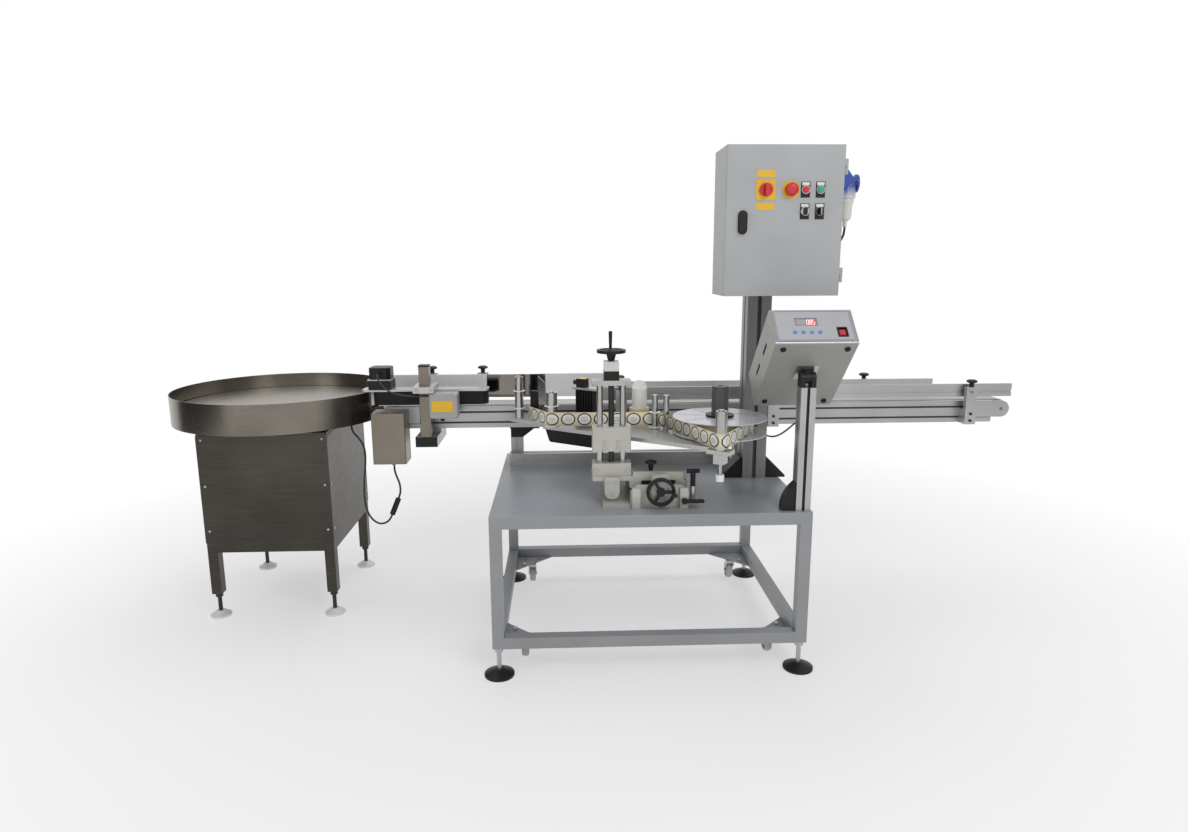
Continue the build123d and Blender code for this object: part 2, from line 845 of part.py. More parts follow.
keep("guide_rail_rear", guide_rail_rear)

bracket_top = rod_z + rail_rod_diameter + 6
bracket_foot = 60
moving_knob_front = front_brackets[-1]
moving_knob_rear = rear_brackets[-1]


def knob_outline():
    """Half outline of a clamp knob: neck, flared grip and rounded top."""
    with BuildSketch(Plane.XZ) as outline:
        with BuildLine():
            neck = knob_neck / 2
            Polyline((0, 0), (neck, 0), (neck, knob_height * 0.5), (knob_diameter / 2, knob_height * 0.68),
                     (knob_diameter / 2, knob_height * 0.82))
            ThreePointArc((knob_diameter / 2, knob_height * 0.82),
                          (knob_diameter * 0.4, knob_height * 0.94), (knob_diameter * 0.25, knob_height))
            Polyline((knob_diameter * 0.25, knob_height), (0, knob_height), (0, 0))
        make_face()
    return outline.sketch


def knob_seat(x, way):
    """Top of a bracket: rear ones behind the tall plate reach over it."""
    return plate_top + 2 if way > 0 and x < rail_rear_left else bracket_top


with BuildPart() as knob:
    add(knob_outline())
    revolve(axis=Axis.Z)
with BuildPart() as guide_brackets:
    for spots, rail_y, face_y, way in ((front_brackets, front_rail_y, side_front, -1),
                                       (rear_brackets, rear_rail_y, side_back, 1)):
        near = rail_y + way * bracket_gap
        bar_y = near + way * bracket_thick / 2
        foot_y = (face_y + near) / 2
        for x in spots:
            with Locations((x, bar_y, conveyor_bottom)):
                Box(bracket_width, bracket_thick, knob_seat(x, way) - conveyor_bottom, align=standing)
        with Locations(*[(x, foot_y, conveyor_bottom) for x in spots]):
            Box(bracket_width, abs(near - face_y), bracket_foot, align=standing)
        with Locations(*[Location((x, bar_y, rod_z), (90, 0, 0)) for x in spots]):
            Cylinder(rail_rod_diameter / 2 + running_gap, 2 * bracket_thick, mode=Mode.SUBTRACT)
        still = [x for x in spots if x not in (moving_knob_front, moving_knob_rear)]
        with Locations(*[(x, bar_y, knob_seat(x, way)) for x in still]):
            add(knob.part)
keep("guide_brackets", guide_brackets)
for knob_name, knob_x, rail_y, way in (("guide_knob_front", moving_knob_front, front_rail_y, -1),
                                       ("guide_knob_rear", moving_knob_rear, rear_rail_y, 1)):
    with BuildPart() as placed_knob:
        with Locations((knob_x, rail_y + way * (bracket_gap + bracket_thick / 2), bracket_top + clearance)):
            add(knob.part)
    keep(knob_name, placed_knob)

# Spacer: plates on the post, side belt round a driven pulley and a fixed one
spacer_belt_bottom = spacer_plate_top - spacer_plate_thick - spacer_belt_height - 4
belt_left = pulley_x
belt_right = spacer_right - spacer_pulley_diameter / 2 - spacer_belt_thick - 2
spacer_base_thick = 4
base_top = spacer_belt_bottom - 2
clamp_z = spacer_plate_top - 4
clamp_tall = 24
with BuildPart() as spacer_plate:
    with BuildSketch(Plane.XY.offset(spacer_plate_top - spacer_plate_thick)):
        with Locations(((spacer_left + spacer_right) / 2, spacer_y)):
            RectangleRounded(spacer_right - spacer_left, spacer_depth, 12)
        with Locations((pulley_x, spacer_y)):
            Circle(spacer_pin_diameter / 2 + clearance, mode=Mode.SUBTRACT)
    extrude(amount=spacer_plate_thick)
    with BuildSketch(Plane.XY.offset(base_top - spacer_base_thick)):
        with Locations(((belt_left + belt_right) / 2, spacer_y)):
            Rectangle(belt_right - belt_left + 2 * spacer_pin_diameter, spacer_pulley_diameter * 0.7)
        with Locations((pulley_x, spacer_y)):
            Circle(spacer_pin_diameter / 2 + running_gap, mode=Mode.SUBTRACT)
    extrude(amount=spacer_base_thick)
    with Locations((belt_right, spacer_y, base_top)):
        Cylinder(spacer_pin_diameter / 2, spacer_plate_top - spacer_plate_thick - base_top,
                 align=standing)
    with Locations((belt_right, spacer_y, spacer_belt_bottom)):
        Cylinder(spacer_pulley_diameter / 2 - clearance, spacer_belt_height,
                 align=standing)
    with BuildSketch(Plane.XY.offset(clamp_z)):
        with Locations((spacer_post_x, (spacer_post_y + spacer_y) / 2 - 15)):
            Rectangle(2 * spacer_post, spacer_y - spacer_post_y + spacer_post + 30)
        with Locations((spacer_post_x, spacer_post_y)):
            Rectangle(spacer_post + 2 * clearance, spacer_post + 2 * clearance, mode=Mode.SUBTRACT)
    extrude(amount=clamp_tall)
keep("spacer_plate", spacer_plate)

with BuildPart() as spacer_belt:
    with BuildSketch(Plane.XY.offset(spacer_belt_bottom)):
        with Locations(((belt_left + belt_right) / 2, spacer_y)):
            SlotCenterToCenter(belt_right - belt_left, spacer_pulley_diameter + 2 * spacer_belt_thick)
            SlotCenterToCenter(belt_right - belt_left, spacer_pulley_diameter + 2 * clearance,
                               mode=Mode.SUBTRACT)
    extrude(amount=spacer_belt_height)
keep("spacer_belt", spacer_belt)

with BuildPart() as spacer_pulley:
    with Locations((pulley_x, spacer_y, spacer_belt_bottom)):
        Cylinder(spacer_pulley_diameter / 2, spacer_belt_height, align=standing)
    with Locations((pulley_x, spacer_y, base_top - spacer_base_thick)):
        Cylinder(spacer_pin_diameter / 2, spacer_plate_top + shaft_reach - base_top + spacer_base_thick,
                 align=standing)
keep("spacer_pulley", spacer_pulley)

terminal_x = spacer_post_x + spacer_post / 2 + terminal_box_width / 2
terminal_y = spacer_post_y + spacer_post / 2 - terminal_box_depth / 2
with BuildPart() as junction_box:
    with Locations((terminal_x, terminal_y, terminal_box_bottom)):
        Box(terminal_box_width, terminal_box_depth, terminal_box_height,
            align=standing)
    fillet(junction_box.edges().filter_by(Axis.Y), 8)
    lid_face = junction_box.faces().sort_by(Axis.Y)[0]
    chamfer(lid_face.edges(), 3)
    with Locations((terminal_x - 10, terminal_y, terminal_box_bottom)):
        Cylinder(gland_diameter / 2, gland_length, align=hanging)
keep("junction_box", junction_box)

# Column with foot brackets
column_top = cabinet_top - 60
foot_bracket = 80
bracket_web = 8
with BuildPart() as column:
    with BuildSketch(Plane.XY.offset(cart_height)):
        with Locations((column_x, column_y)):
            add(slotted_section(column_section, column_section, column_slot, column_slot_depth))
    extrude(amount=column_top - cart_height)
    for way in (-1, 1):
        edge_x = column_x + way * column_section / 2
        with BuildSketch(Plane.XZ.offset(-column_y - column_section * 0.4)):
            with BuildLine():
                Polyline((edge_x, cart_height), (edge_x + way * foot_bracket, cart_height),
                         (edge_x + way * foot_bracket, cart_height + bracket_web),
                         (edge_x + way * bracket_web, cart_height + foot_bracket),
                         (edge_x, cart_height + foot_bracket), close=True)
            make_face()
        extrude(amount=column_section * 0.8)
    with Locations(Location((column_right - column_slot_depth, column_y, supply_gland_z), (0, 90, 0))):
        Cylinder(gland_diameter / 2, column_slot_depth + gland_length, align=standing)
    with Locations(Location((control_gland_x, column_front, control_gland_z), (90, 0, 0))):
        Cylinder(gland_diameter / 2, gland_length, align=standing)
keep("column", column)

# Cabinet: folded shell with a lip, mounting plate and devices inside
mount_plate_gap = 12
with BuildPart() as cabinet_shell:
    with Locations((cabinet_x, cabinet_front, cabinet_bottom)):
        Box(cabinet_width, cabinet_depth, cabinet_height, align=from_front)
    opening_face = cabinet_shell.faces().sort_by(Axis.Y)[0]
    offset(amount=-cabinet_wall, openings=opening_face)
    with BuildSketch(Plane.XZ.offset(-cabinet_front)):
        with Locations((cabinet_x, cabinet_mid)):
            Rectangle(cabinet_width, cabinet_height)
            Rectangle(cabinet_width - 2 * cabinet_lip, cabinet_height - 2 * cabinet_lip, mode=Mode.SUBTRACT)
    extrude(amount=-cabinet_wall)
    hinge_x = cabinet_x + cabinet_width / 2 + hinge_pin_diameter + 1
    hinge_y = cabinet_front - door_gap / 2
    hinge_spots = (cabinet_bottom + hinge_inset, cabinet_top - hinge_inset)
    for hinge_z in hinge_spots:
        with Locations((hinge_x, hinge_y, hinge_z)):
            Cylinder(hinge_pin_diameter, hinge_height / 2, align=hanging)
            Cylinder(hinge_pin_diameter / 2, hinge_height / 2, align=standing)
        with Locations((cabinet_x + cabinet_width / 2, cabinet_front, hinge_z)):
            Box(hinge_pin_diameter + 1, 2 * hinge_pin_diameter, hinge_height / 2,
                align=(Align.MIN, Align.MIN, Align.MAX))
    with Locations((cabinet_x, cabinet_back - cabinet_wall - mount_plate_gap, cabinet_mid)):
        Box(cabinet_width * 0.85, 3, cabinet_height * 0.85, align=(Align.CENTER, Align.MAX, Align.CENTER))
        with GridLocations(cabinet_width * 0.62, 0, 2, 1):
            Cylinder(5, mount_plate_gap, rotation=(90, 0, 0), align=hanging)
    plate_front = cabinet_back - cabinet_wall - mount_plate_gap - 3
    for device_x, device_z, device_w, device_h, device_d in (
            (-90, 120, 90, 150, 110), (40, 120, 60, 85, 80), (115, 120, 45, 85, 70),
            (0, -30, 300, 12, 8), (-60, -110, 150, 60, 55), (90, -110, 60, 110, 60)):
        with Locations((cabinet_x + device_x, plate_front, cabinet_mid + device_z)):
            Box(device_w, device_d, device_h, align=(Align.CENTER, Align.MAX, Align.CENTER))
keep("cabinet_shell", cabinet_shell)

# Door with its hinge knuckles, legend plates and control holes
door_plane = Plane.XZ.offset(-door_front)
controls = {"main_switch": (switch_x, switch_row), "emergency_stop": (emergency_x, switch_row),
            "stop_button": (stop_x, switch_row), "start_button": (start_x, switch_row),
            "selector_left": (stop_x, lower_row), "selector_right": (start_x, lower_row)}
latch_spot = (latch_x, latch_z)
with BuildPart() as cabinet_door:
    with Locations((cabinet_x, door_front, cabinet_bottom)):
        Box(cabinet_width, door_thick, cabinet_height, align=from_front)
    fillet(cabinet_door.edges().filter_by(Axis.Z).group_by(Axis.Y)[0], 3)
    door_back_face = cabinet_door.faces().sort_by(Axis.Y)[-1]
    offset(amount=-door_skin, openings=door_back_face)
    for hinge_z in hinge_spots:
        with Locations((cabinet_x + cabinet_width / 2 - 1, door_front + 5, hinge_z + clearance)):
            Box(hinge_x - cabinet_x - cabinet_width / 2 + 1, door_thick - 5, hinge_height / 2 - clearance,
                align=(Align.MIN, Align.MIN, Align.MIN))
        with Locations((hinge_x, hinge_y, hinge_z + clearance)):
            Cylinder(hinge_pin_diameter, hinge_height / 2 - clearance, align=standing)
        with Locations((hinge_x, hinge_y, hinge_z)):
            Cylinder(hinge_pin_diameter / 2 + running_gap, hinge_height,
                     align=standing, mode=Mode.SUBTRACT)
    with BuildSketch(door_plane):
        for name in ("stop_button", "start_button", "selector_left", "selector_right"):
            with Locations(controls[name]):
                Rectangle(legend_width, legend_height)
        with Locations(controls["main_switch"]):
            Rectangle(main_plate, main_plate)
        with Locations(controls["emergency_stop"]):
            Circle(emergency_collar / 2)
    extrude(amount=plate_thick)
    with BuildSketch(door_plane.offset(plate_thick)):
        for name in ("stop_button", "start_button", "selector_left", "selector_right"):
            with Locations(controls[name]):
                Circle(bezel_diameter / 2)
    extrude(amount=bezel_height)
    for name in controls:
        with Locations(Location((controls[name][0], door_front, controls[name][1]), (90, 0, 0))):
            Cylinder(button_diameter / 2 + clearance, 60, mode=Mode.SUBTRACT)
    with Locations(Location((latch_x, door_front, latch_z), (90, 0, 0))):
        Cylinder(latch_stem_diameter / 2 + running_gap, 60, mode=Mode.SUBTRACT)
keep("cabinet_door", cabinet_door)

stem_back = door_skin + 12
with BuildPart() as door_latch:
    with BuildSketch(door_plane.offset(clearance)):
        with Locations(latch_spot):
            SlotOverall(latch_length, latch_width, rotation=90)
    extrude(amount=latch_height)
    fillet(door_latch.edges().group_by(Axis.Y)[0], latch_height / 3)
    with Locations(Location((latch_x, door_front - clearance, latch_z), (-90, 0, 0))):
        Cylinder(latch_stem_diameter / 2, stem_back, align=standing)
keep("door_latch", door_latch)

with BuildPart() as main_switch:
    with BuildSketch(door_plane.offset(plate_thick + clearance)):
        with Locations(controls["main_switch"]):
            Circle(main_knob / 2)
    extrude(amount=main_knob_base)
    with BuildSketch(door_plane.offset(plate_thick + clearance + main_knob_base)):
        with Locations(controls["main_switch"]):
            RectangleRounded(main_knob * 0.3, main_knob * 0.9, main_knob * 0.12)
    extrude(amount=main_knob_grip)
    with Locations(Location((switch_x, door_front - plate_thick - clearance, switch_row), (-90, 0, 0))):
        Cylinder(button_diameter / 2, stem_back, align=standing)
keep("main_switch", main_switch)

with BuildPart() as emergency_stop:
    with BuildSketch(Plane.XZ):
        with BuildLine():
            cap = mushroom_diameter / 2
            base = plate_thick + mushroom_travel + 1
            Polyline((0, -stem_back), (button_diameter / 2, -stem_back), (button_diameter / 2, base),
                     (cap, base), (cap, base + mushroom_height / 2))
            ThreePointArc((cap, base + mushroom_height / 2), (cap * 0.75, base + mushroom_height * 0.86),
                          (cap * 0.3, base + mushroom_height))
            Polyline((cap * 0.3, base + mushroom_height), (0, base + mushroom_height), (0, -stem_back))
        make_face()
    revolve(axis=Axis.Z)
with BuildPart() as placed_emergency:
    with Locations(Location((emergency_x, door_front, switch_row), (90, 0, 0))):
        add(emergency_stop.part)
keep("emergency_stop", placed_emergency)

cap_front = plate_thick + bezel_height
for name in ("stop_button", "start_button"):
    button_x, button_z = controls[name]
    with BuildPart() as push_button:
        button_front = door_front - cap_front - button_travel - 1
        with Locations(Location((button_x, button_front, button_z), (-90, 0, 0))):
            Cylinder(button_diameter / 2, stem_back + cap_front + button_travel,
                     align=standing)
        fillet(push_button.edges().group_by(Axis.Y)[0], 1.5)
    keep(name, push_button)
for name in ("selector_left", "selector_right"):
    knob_x, knob_z = controls[name]
    with BuildPart() as selector:
        with BuildSketch(door_plane.offset(cap_front + clearance)):
            with Locations((knob_x, knob_z)):
                Circle(bezel_diameter * 0.45)
        extrude(amount=3)
        with BuildSketch(door_plane.offset(cap_front + clearance + 3)):
            with Locations((knob_x, knob_z)):
                RectangleRounded(bezel_diameter * 0.32, bezel_diameter * 0.85, bezel_diameter * 0.14)
        extrude(amount=selector_grip)
        with Locations(Location((knob_x, door_front - cap_front - clearance, knob_z), (-90, 0, 0))):
            Cylinder(button_diameter / 2, stem_back + cap_front, align=standing)
    keep(name, selector)

# Power outlet on the cabinet's side, with the plug that hangs in it
outlet_x = cabinet_x + cabinet_width / 2
outlet_y = cabinet_front + 90
socket_x = outlet_x + 48
with BuildPart() as power_outlet:
    with BuildSketch(Plane.YZ.offset(outlet_x)):
        with Locations((outlet_y, outlet_z + 28)):
            RectangleRounded(outlet_width, outlet_height, 8)
    extrude(amount=outlet_flange)
    with BuildSketch(Plane.XZ.offset(-outlet_y)):
        with BuildLine():
            Polyline((outlet_x, outlet_z + 68), (outlet_x + 26, outlet_z + 68),
                     (socket_x + 22, outlet_z + 12), (socket_x - 28, outlet_z - 20),
                     (outlet_x, outlet_z - 6), close=True)
        make_face()
    extrude(amount=outlet_width * 0.4, both=True)
    with Locations((socket_x, outlet_y, outlet_z)):
        Cylinder(socket_diameter / 2, socket_height, align=hanging)
    with BuildSketch(Plane.YZ.offset(socket_x + socket_diameter / 2 - 3)):
        with Locations((outlet_y, outlet_z + 6)):
            Circle(socket_diameter / 2)
    extrude(amount=7)
    plug_top = outlet_z - socket_height
    plug_bottom = plug_top - plug_length
    with BuildSketch(Plane.XZ.offset(-outlet_y)):
        with BuildLine():
            body = plug_diameter / 2
            neck = lead_diameter * 0.9
            Polyline((socket_x, plug_top), (socket_x + body * 1.12, plug_top),
                     (socket_x + body * 1.12, plug_top - 14), (socket_x + body, plug_top - 18),
                     (socket_x + body * 0.86, plug_top - plug_length * 0.72),
                     (socket_x + neck, plug_top - plug_length * 0.82),
                     (socket_x + neck, plug_bottom), (socket_x, plug_bottom), close=True)
        make_face()
    revolve(axis=Axis((socket_x, outlet_y, 0), (0, 0, 1)))
keep("power_outlet", power_outlet)

# Control post with its hinge fork, and the tilting control box
pivot_y = control_post_y
control_post_back = control_post_y + control_post_section / 2
fork_gap = 20
cheek = 15
lug_radius = 20
lug_plate = 2.5
lug_plate_size = 74
pivot_pin = 12
wedge = 46
with BuildPart() as control_post:
    with BuildSketch(Plane.XY.offset(cart_height)):
        with Locations((control_x, control_post_y)):
            add(slotted_section(control_post_section, control_post_section, 10, 5))
    extrude(amount=control_post_top - cart_height)
    for way in (-1, 1):
        with BuildSketch(Plane.YZ.offset(control_x + way * (fork_gap / 2 + clearance))):
            with Locations((pivot_y, control_pivot_z)):
                Circle(lug_radius)
            with Locations((pivot_y, (control_pivot_z + control_post_top) / 2)):
                Rectangle(2 * lug_radius, control_pivot_z - control_post_top)
        extrude(amount=way * cheek)
    with Locations(Location((control_x, pivot_y, control_pivot_z), (0, 90, 0))):
        Cylinder(pivot_pin / 2, fork_gap + 2 * cheek)
    edge_x = control_x - control_post_section / 2
    with BuildSketch(Plane.XZ.offset(-control_post_y - control_post_section * 0.4)):
        with BuildLine():
            Line((edge_x, cart_height), (edge_x - wedge, cart_height))
            RadiusArc((edge_x - wedge, cart_height), (edge_x, cart_height + 2.1 * wedge), 2.6 * wedge)
            Line((edge_x, cart_height + 2.1 * wedge), (edge_x, cart_height))
        make_face()
    extrude(amount=control_post_section * 0.8)
    with Locations(Location((control_x, control_post_back, lead_exit_z), (-90, 0, 0))):
        Cylinder(gland_diameter / 2, gland_length, align=standing)
keep("control_post", control_post)

tilt_y = sin(radians(control_tilt))
tilt_z = cos(radians(control_tilt))
control_plane = Plane((control_x, pivot_y, control_pivot_z), x_dir=(1, 0, 0), z_dir=(0, tilt_y, tilt_z))
case_front = -control_reach
pocket_width = rocker_width + 2 * rocker_room
pocket_height = rocker_height + 2 * rocker_room
pivot_pad = 2
case_mid = case_front + control_depth / 2
panel = Plane(control_plane.from_local_coords(Vector(0, case_front, case_drop + control_height / 2)),
              x_dir=(1, 0, 0), z_dir=(0, -tilt_z, tilt_y))
with BuildPart() as control_box:
    with BuildSketch(control_plane.offset(case_drop)):
        with Locations((0, case_mid)):
            Rectangle(control_width, control_depth)
    extrude(amount=control_height)
    fillet(control_box.edges().filter_by(Axis.X), case_round)
    with BuildSketch(control_plane.offset(case_drop + case_wall)):
        with Locations((0, case_mid)):
            Rectangle(control_width - 2 * case_wall, control_depth - 2 * case_wall)
    extrude(amount=control_height - 2 * case_wall, mode=Mode.SUBTRACT)
    with BuildSketch(panel.offset(-case_wall)):
        with Locations((rocker_x, rocker_z)):
            Rectangle(pocket_width + 2 * case_wall, pocket_height + 2 * case_wall)
    extrude(amount=-rocker_depth)
    with BuildSketch(panel):
        RectangleRounded(control_width - 16, control_height - 16, 4)
        with Locations((display_x, display_z)):
            Rectangle(display_width, display_height, mode=Mode.SUBTRACT)
        with Locations((rocker_x, rocker_z)):
            Rectangle(pocket_width, pocket_height, mode=Mode.SUBTRACT)
    extrude(amount=2)
    with BuildSketch(panel.offset(2)):
        with Locations((key_x, key_z)):
            with GridLocations(key_pitch, 0, 4, 1):
                Circle(key_diameter / 2)
    extrude(amount=1)
    with BuildSketch(panel):
        with Locations((rocker_x, rocker_z)):
            Rectangle(pocket_width, pocket_height)
    extrude(amount=-rocker_depth, mode=Mode.SUBTRACT)
    with BuildSketch(panel):
        with Locations((rocker_x, rocker_z)):
            with GridLocations(pocket_width - pivot_pad, 0, 2, 1):
                Rectangle(pivot_pad, rocker_height / 4)
    extrude(amount=-rocker_depth)
    left_middle = Vector(-control_width / 2, case_mid, case_drop + control_height / 2)
    vent_plane = Plane(control_plane.from_local_coords(left_middle), x_dir=(0, tilt_z, -tilt_y),
                       z_dir=(-1, 0, 0))
    with BuildSketch(vent_plane):
        with GridLocations(vent_pitch, 0, 2, 1):
            SlotOverall(vent_length, vent_width)
    extrude(amount=-2 * case_wall, mode=Mode.SUBTRACT)
    with BuildSketch(control_plane.offset(case_drop)):
        with Locations((0, case_mid)):
            with GridLocations(control_width - 60, control_depth - 60, 2, 2):
                Circle(9)
    extrude(amount=-5)
    with BuildSketch(control_plane.offset(case_drop)):
        Rectangle(lug_plate_size, lug_plate_size)
    extrude(amount=-lug_plate)
    with BuildSketch(Plane.YZ.offset(control_x)):
        with Locations((pivot_y, control_pivot_z)):
            Circle(lug_radius - 1)
            with Locations((tilt_y * case_drop / 2, tilt_z * case_drop / 2)):
                Rectangle(2 * lug_radius - 2, case_drop, rotation=-control_tilt)
        with Locations((pivot_y, control_pivot_z)):
            Circle(pivot_pin / 2 + running_gap, mode=Mode.SUBTRACT)
    extrude(amount=fork_gap / 2 - clearance, both=True)
keep("control_box", control_box)

rocker_middle = panel.from_local_coords(Vector(rocker_x, rocker_z, -rocker_room))
rocker_plane = Plane(rocker_middle, x_dir=(0, tilt_y, tilt_z), z_dir=(1, 0, 0))
with BuildPart() as rocker_switch:
    with BuildSketch(rocker_plane):
        with BuildLine():
            half = rocker_height / 2
            Polyline((-half, -rocker_rise), (0, -rocker_rise / 2), (half, -rocker_rise),
                     (half * 0.8, rocker_rise), (-half * 0.8, rocker_rise), close=True)
        make_face()
    extrude(amount=rocker_width / 2, both=True)
    with BuildSketch(rocker_plane):
        Circle(1.5)
    extrude(amount=rocker_width / 2 + 0.6, both=True)
keep("rocker_switch", rocker_switch)

# Cross slide: base plate, rails, end blocks, claws and the position indicator
base_top_z = cart_height + slide_plate_thick
slide_back = slide_front + slide_length
block_width = 202
block_cut = 22
claw_spots = (slide_x - claw_spread, slide_x + claw_spread)
claw_top = base_top_z + claw_height
claw_front = slide_front - claw_depth
rail_top_z = base_top_z + slide_rail_height
with BuildPart() as slide_base:
    with Locations((slide_base_x, slide_front, cart_height)):
        Box(slide_base_width, slide_length, slide_plate_thick, align=from_front)
    with Locations((slide_x, slide_front + slide_length / 2, base_top_z)):
        with GridLocations(2 * slide_rail_spread, 0, 2, 1):
            Box(slide_rail_width, slide_length - 2 * slide_block_thick, slide_rail_height,
                align=standing)
    for block_y in (slide_front, slide_back - slide_block_thick):
        with BuildSketch(Plane.XZ.offset(-block_y)):
            with BuildLine():
                half = block_width / 2
                block_top = base_top_z + slide_block_height
                Polyline((slide_x - half, base_top_z), (slide_x + half, base_top_z),
                         (slide_x + half, block_top - block_cut), (slide_x + half - block_cut, block_top),
                         (slide_x - half + block_cut, block_top), (slide_x - half, block_top - block_cut),
                         close=True)
            make_face()
        extrude(amount=-slide_block_thick)
    with BuildSketch(Plane.XY.offset(slide_screw_z - slide_screw_diameter)):
        with Locations((slide_x, slide_front)):
            Rectangle(indicator_width, 2 * indicator_depth)
    extrude(amount=indicator_top - slide_screw_z + slide_screw_diameter)
    for claw_x in claw_spots:
        with BuildSketch(Plane.YZ.offset(claw_x)):
            with BuildLine():
                Polyline((slide_front, cart_height), (slide_front, claw_top), (claw_front + 4, claw_top),
                         (claw_front, base_top_z + claw_height / 2), (claw_front, cart_height), close=True)
            make_face()
        extrude(amount=claw_width / 2, both=True)
    with Locations(Location((slide_x, slide_front - indicator_depth, slide_screw_z), (-90, 0, 0))):
        Cylinder(slide_screw_diameter / 2 + running_gap, slide_length + indicator_depth,
                 align=standing, mode=Mode.SUBTRACT)
    with Locations(Location((lever_x, claw_front, lever_z), (90, 0, 0))):
        Cylinder(lever_pin / 2, lever_thick + 4, align=standing)
    with Locations((handle_x, handle_y, base_top_z)):
        Cylinder(handle_stem, claw_height, align=standing)
        Cylinder(handle_stem / 2, claw_height + handle_seat, align=standing)
keep("slide_base", slide_base)


def wheel_blank(diameter, rim, thick, hub, grip):
    """Spoked handwheel lying flat: ring, hub and three spokes."""
    with BuildPart() as wheel:
        with BuildSketch():
            Circle(diameter / 2)
            Circle(diameter / 2 - rim, mode=Mode.SUBTRACT)
            Circle(hub / 2)
            with PolarLocations(diameter / 4, 3):
                Rectangle(diameter / 2 - rim / 2, rim * 0.8)
        extrude(amount=thick)
        fillet(wheel.edges().filter_by(GeomType.CIRCLE).sort_by(SortBy.RADIUS)[-2:], thick / 4)
        with Locations((diameter / 2 - rim / 2, 0, thick)):
            Cone(rim * 0.42, rim * 0.55, grip, align=standing)
    return wheel.part


wheel_front = slide_front - indicator_depth - wheel_gap
with BuildPart() as slide_wheel:
    with Locations(Location((slide_x, wheel_front, slide_screw_z), (90, 0, 0))):
        add(wheel_blank(handwheel_diameter, handwheel_rim, handwheel_thick, handwheel_hub, grip_length))
    with Locations(Location((slide_x, wheel_front, slide_screw_z), (-90, 0, 0))):
        Cylinder(slide_screw_diameter / 2, slide_back - wheel_front, align=standing)
keep("slide_wheel", slide_wheel)

with BuildPart() as clamp_lever:
    with BuildSketch(Plane.XZ.offset(clearance - claw_front)):
        with Locations((lever_x, lever_z)):
            Circle(lever_pin)
        with Locations((lever_x + lever_length / 2, lever_z)):
            SlotOverall(lever_length, lever_pin * 1.1)
        with Locations((lever_x, lever_z)):
            Circle(lever_pin / 2 + running_gap, mode=Mode.SUBTRACT)
    extrude(amount=lever_thick)
keep("clamp_lever", clamp_lever)

with BuildPart() as clamp_handle:
    handle_z = claw_top + clearance
    with Locations((handle_x, handle_y, handle_z)):
        Cylinder(handle_stem * 0.9, handle_height, align=standing)
        Cylinder(handle_stem / 2 + running_gap, handle_seat, align=standing,
                 mode=Mode.SUBTRACT)
    with Locations(Location((handle_x, handle_y, handle_z + handle_height), (0, 90, 0))):
        Cylinder(handle_stem * 0.75, handle_bar)
keep("clamp_handle", clamp_handle)

# Lift tower on the slide's carriage: blocks, rods and the indicator under the handwheel
carriage_knob_x = 14
carriage_knob_rise = 16
carriage_bottom = rail_top_z + shoe_height + clearance
carriage_top = carriage_bottom + carriage_thick
tower_lower_top = carriage_top + tower_lower_height
tower_upper_top = tower_upper_bottom + tower_upper_height
tower_left = tower_x - tower_block_width / 2
carriage_right = slide_x + block_width / 2 - 12
carriage_front = tower_y - tower_block_depth / 2 - 10
with BuildPart() as lift_tower:
    with Locations((tower_left, carriage_front, carriage_bottom)):
        Box(carriage_right - tower_left, carriage_depth, carriage_thick,
            align=(Align.MIN, Align.MIN, Align.MIN))
    with Locations((slide_x, carriage_front, rail_top_z + clearance)):
        with GridLocations(2 * slide_rail_spread, 0, 2, 1):
            Box(slide_rail_width + 16, carriage_depth, shoe_height, align=from_front)
    with Locations((slide_x, carriage_front + carriage_depth / 2, carriage_bottom)):
        Box(nut_width, nut_depth, carriage_bottom - slide_screw_z + slide_screw_diameter,
            align=hanging)
    with Locations((slide_x, carriage_front, carriage_top)):
        Box(block_width - 24, slide_block_thick, apron_height, align=from_front)
    with Locations((tower_x, carriage_front, carriage_top)):
        Box(foot_plate_width, slide_block_thick, carriage_top - foot_plate_bottom - foot_plate_width / 2,
            align=(Align.CENTER, Align.MAX, Align.MAX))
    with Locations(Location((tower_x, carriage_front, foot_plate_bottom + foot_plate_width / 2), (90, 0, 0))):
        Cylinder(foot_plate_width / 2, slide_block_thick, align=standing)
    with Locations((carriage_knob_x, tower_y, carriage_top)):
        Cylinder(knob_neck / 3, carriage_knob_rise, align=standing)
    with Locations((carriage_knob_x, tower_y, carriage_top + carriage_knob_rise)):
        add(knob.part)
    with Locations((tower_x, tower_y, carriage_top)):
        Box(tower_block_width, tower_block_depth, tower_lower_height, align=standing)
    with Locations((tower_x, tower_y, tower_upper_bottom)):
        Box(tower_block_width, tower_block_depth, tower_upper_height, align=standing)
    with Locations((tower_x, tower_y, tower_lower_top)):
        with GridLocations(2 * tower_rod_spread, 0, 2, 1):
            Cylinder(tower_rod_diameter / 2, tower_upper_bottom - tower_lower_top,
                     align=standing)
    with Locations((tower_x, tower_y, tower_upper_top)):
        Box(indicator_width * 0.9, indicator_width, lift_indicator_height,
            align=standing)
    with Locations((tower_x, tower_y, carriage_top)):
        Cylinder(lift_screw_diameter / 2 + running_gap,
                 tower_upper_top + lift_indicator_height - carriage_top, align=standing, mode=Mode.SUBTRACT)
    with Locations(Location((slide_x, carriage_front, slide_screw_z), (-90, 0, 0))):
        Cylinder(slide_screw_diameter / 2 + running_gap, carriage_depth,
                 align=standing, mode=Mode.SUBTRACT)
keep("lift_tower", lift_tower)

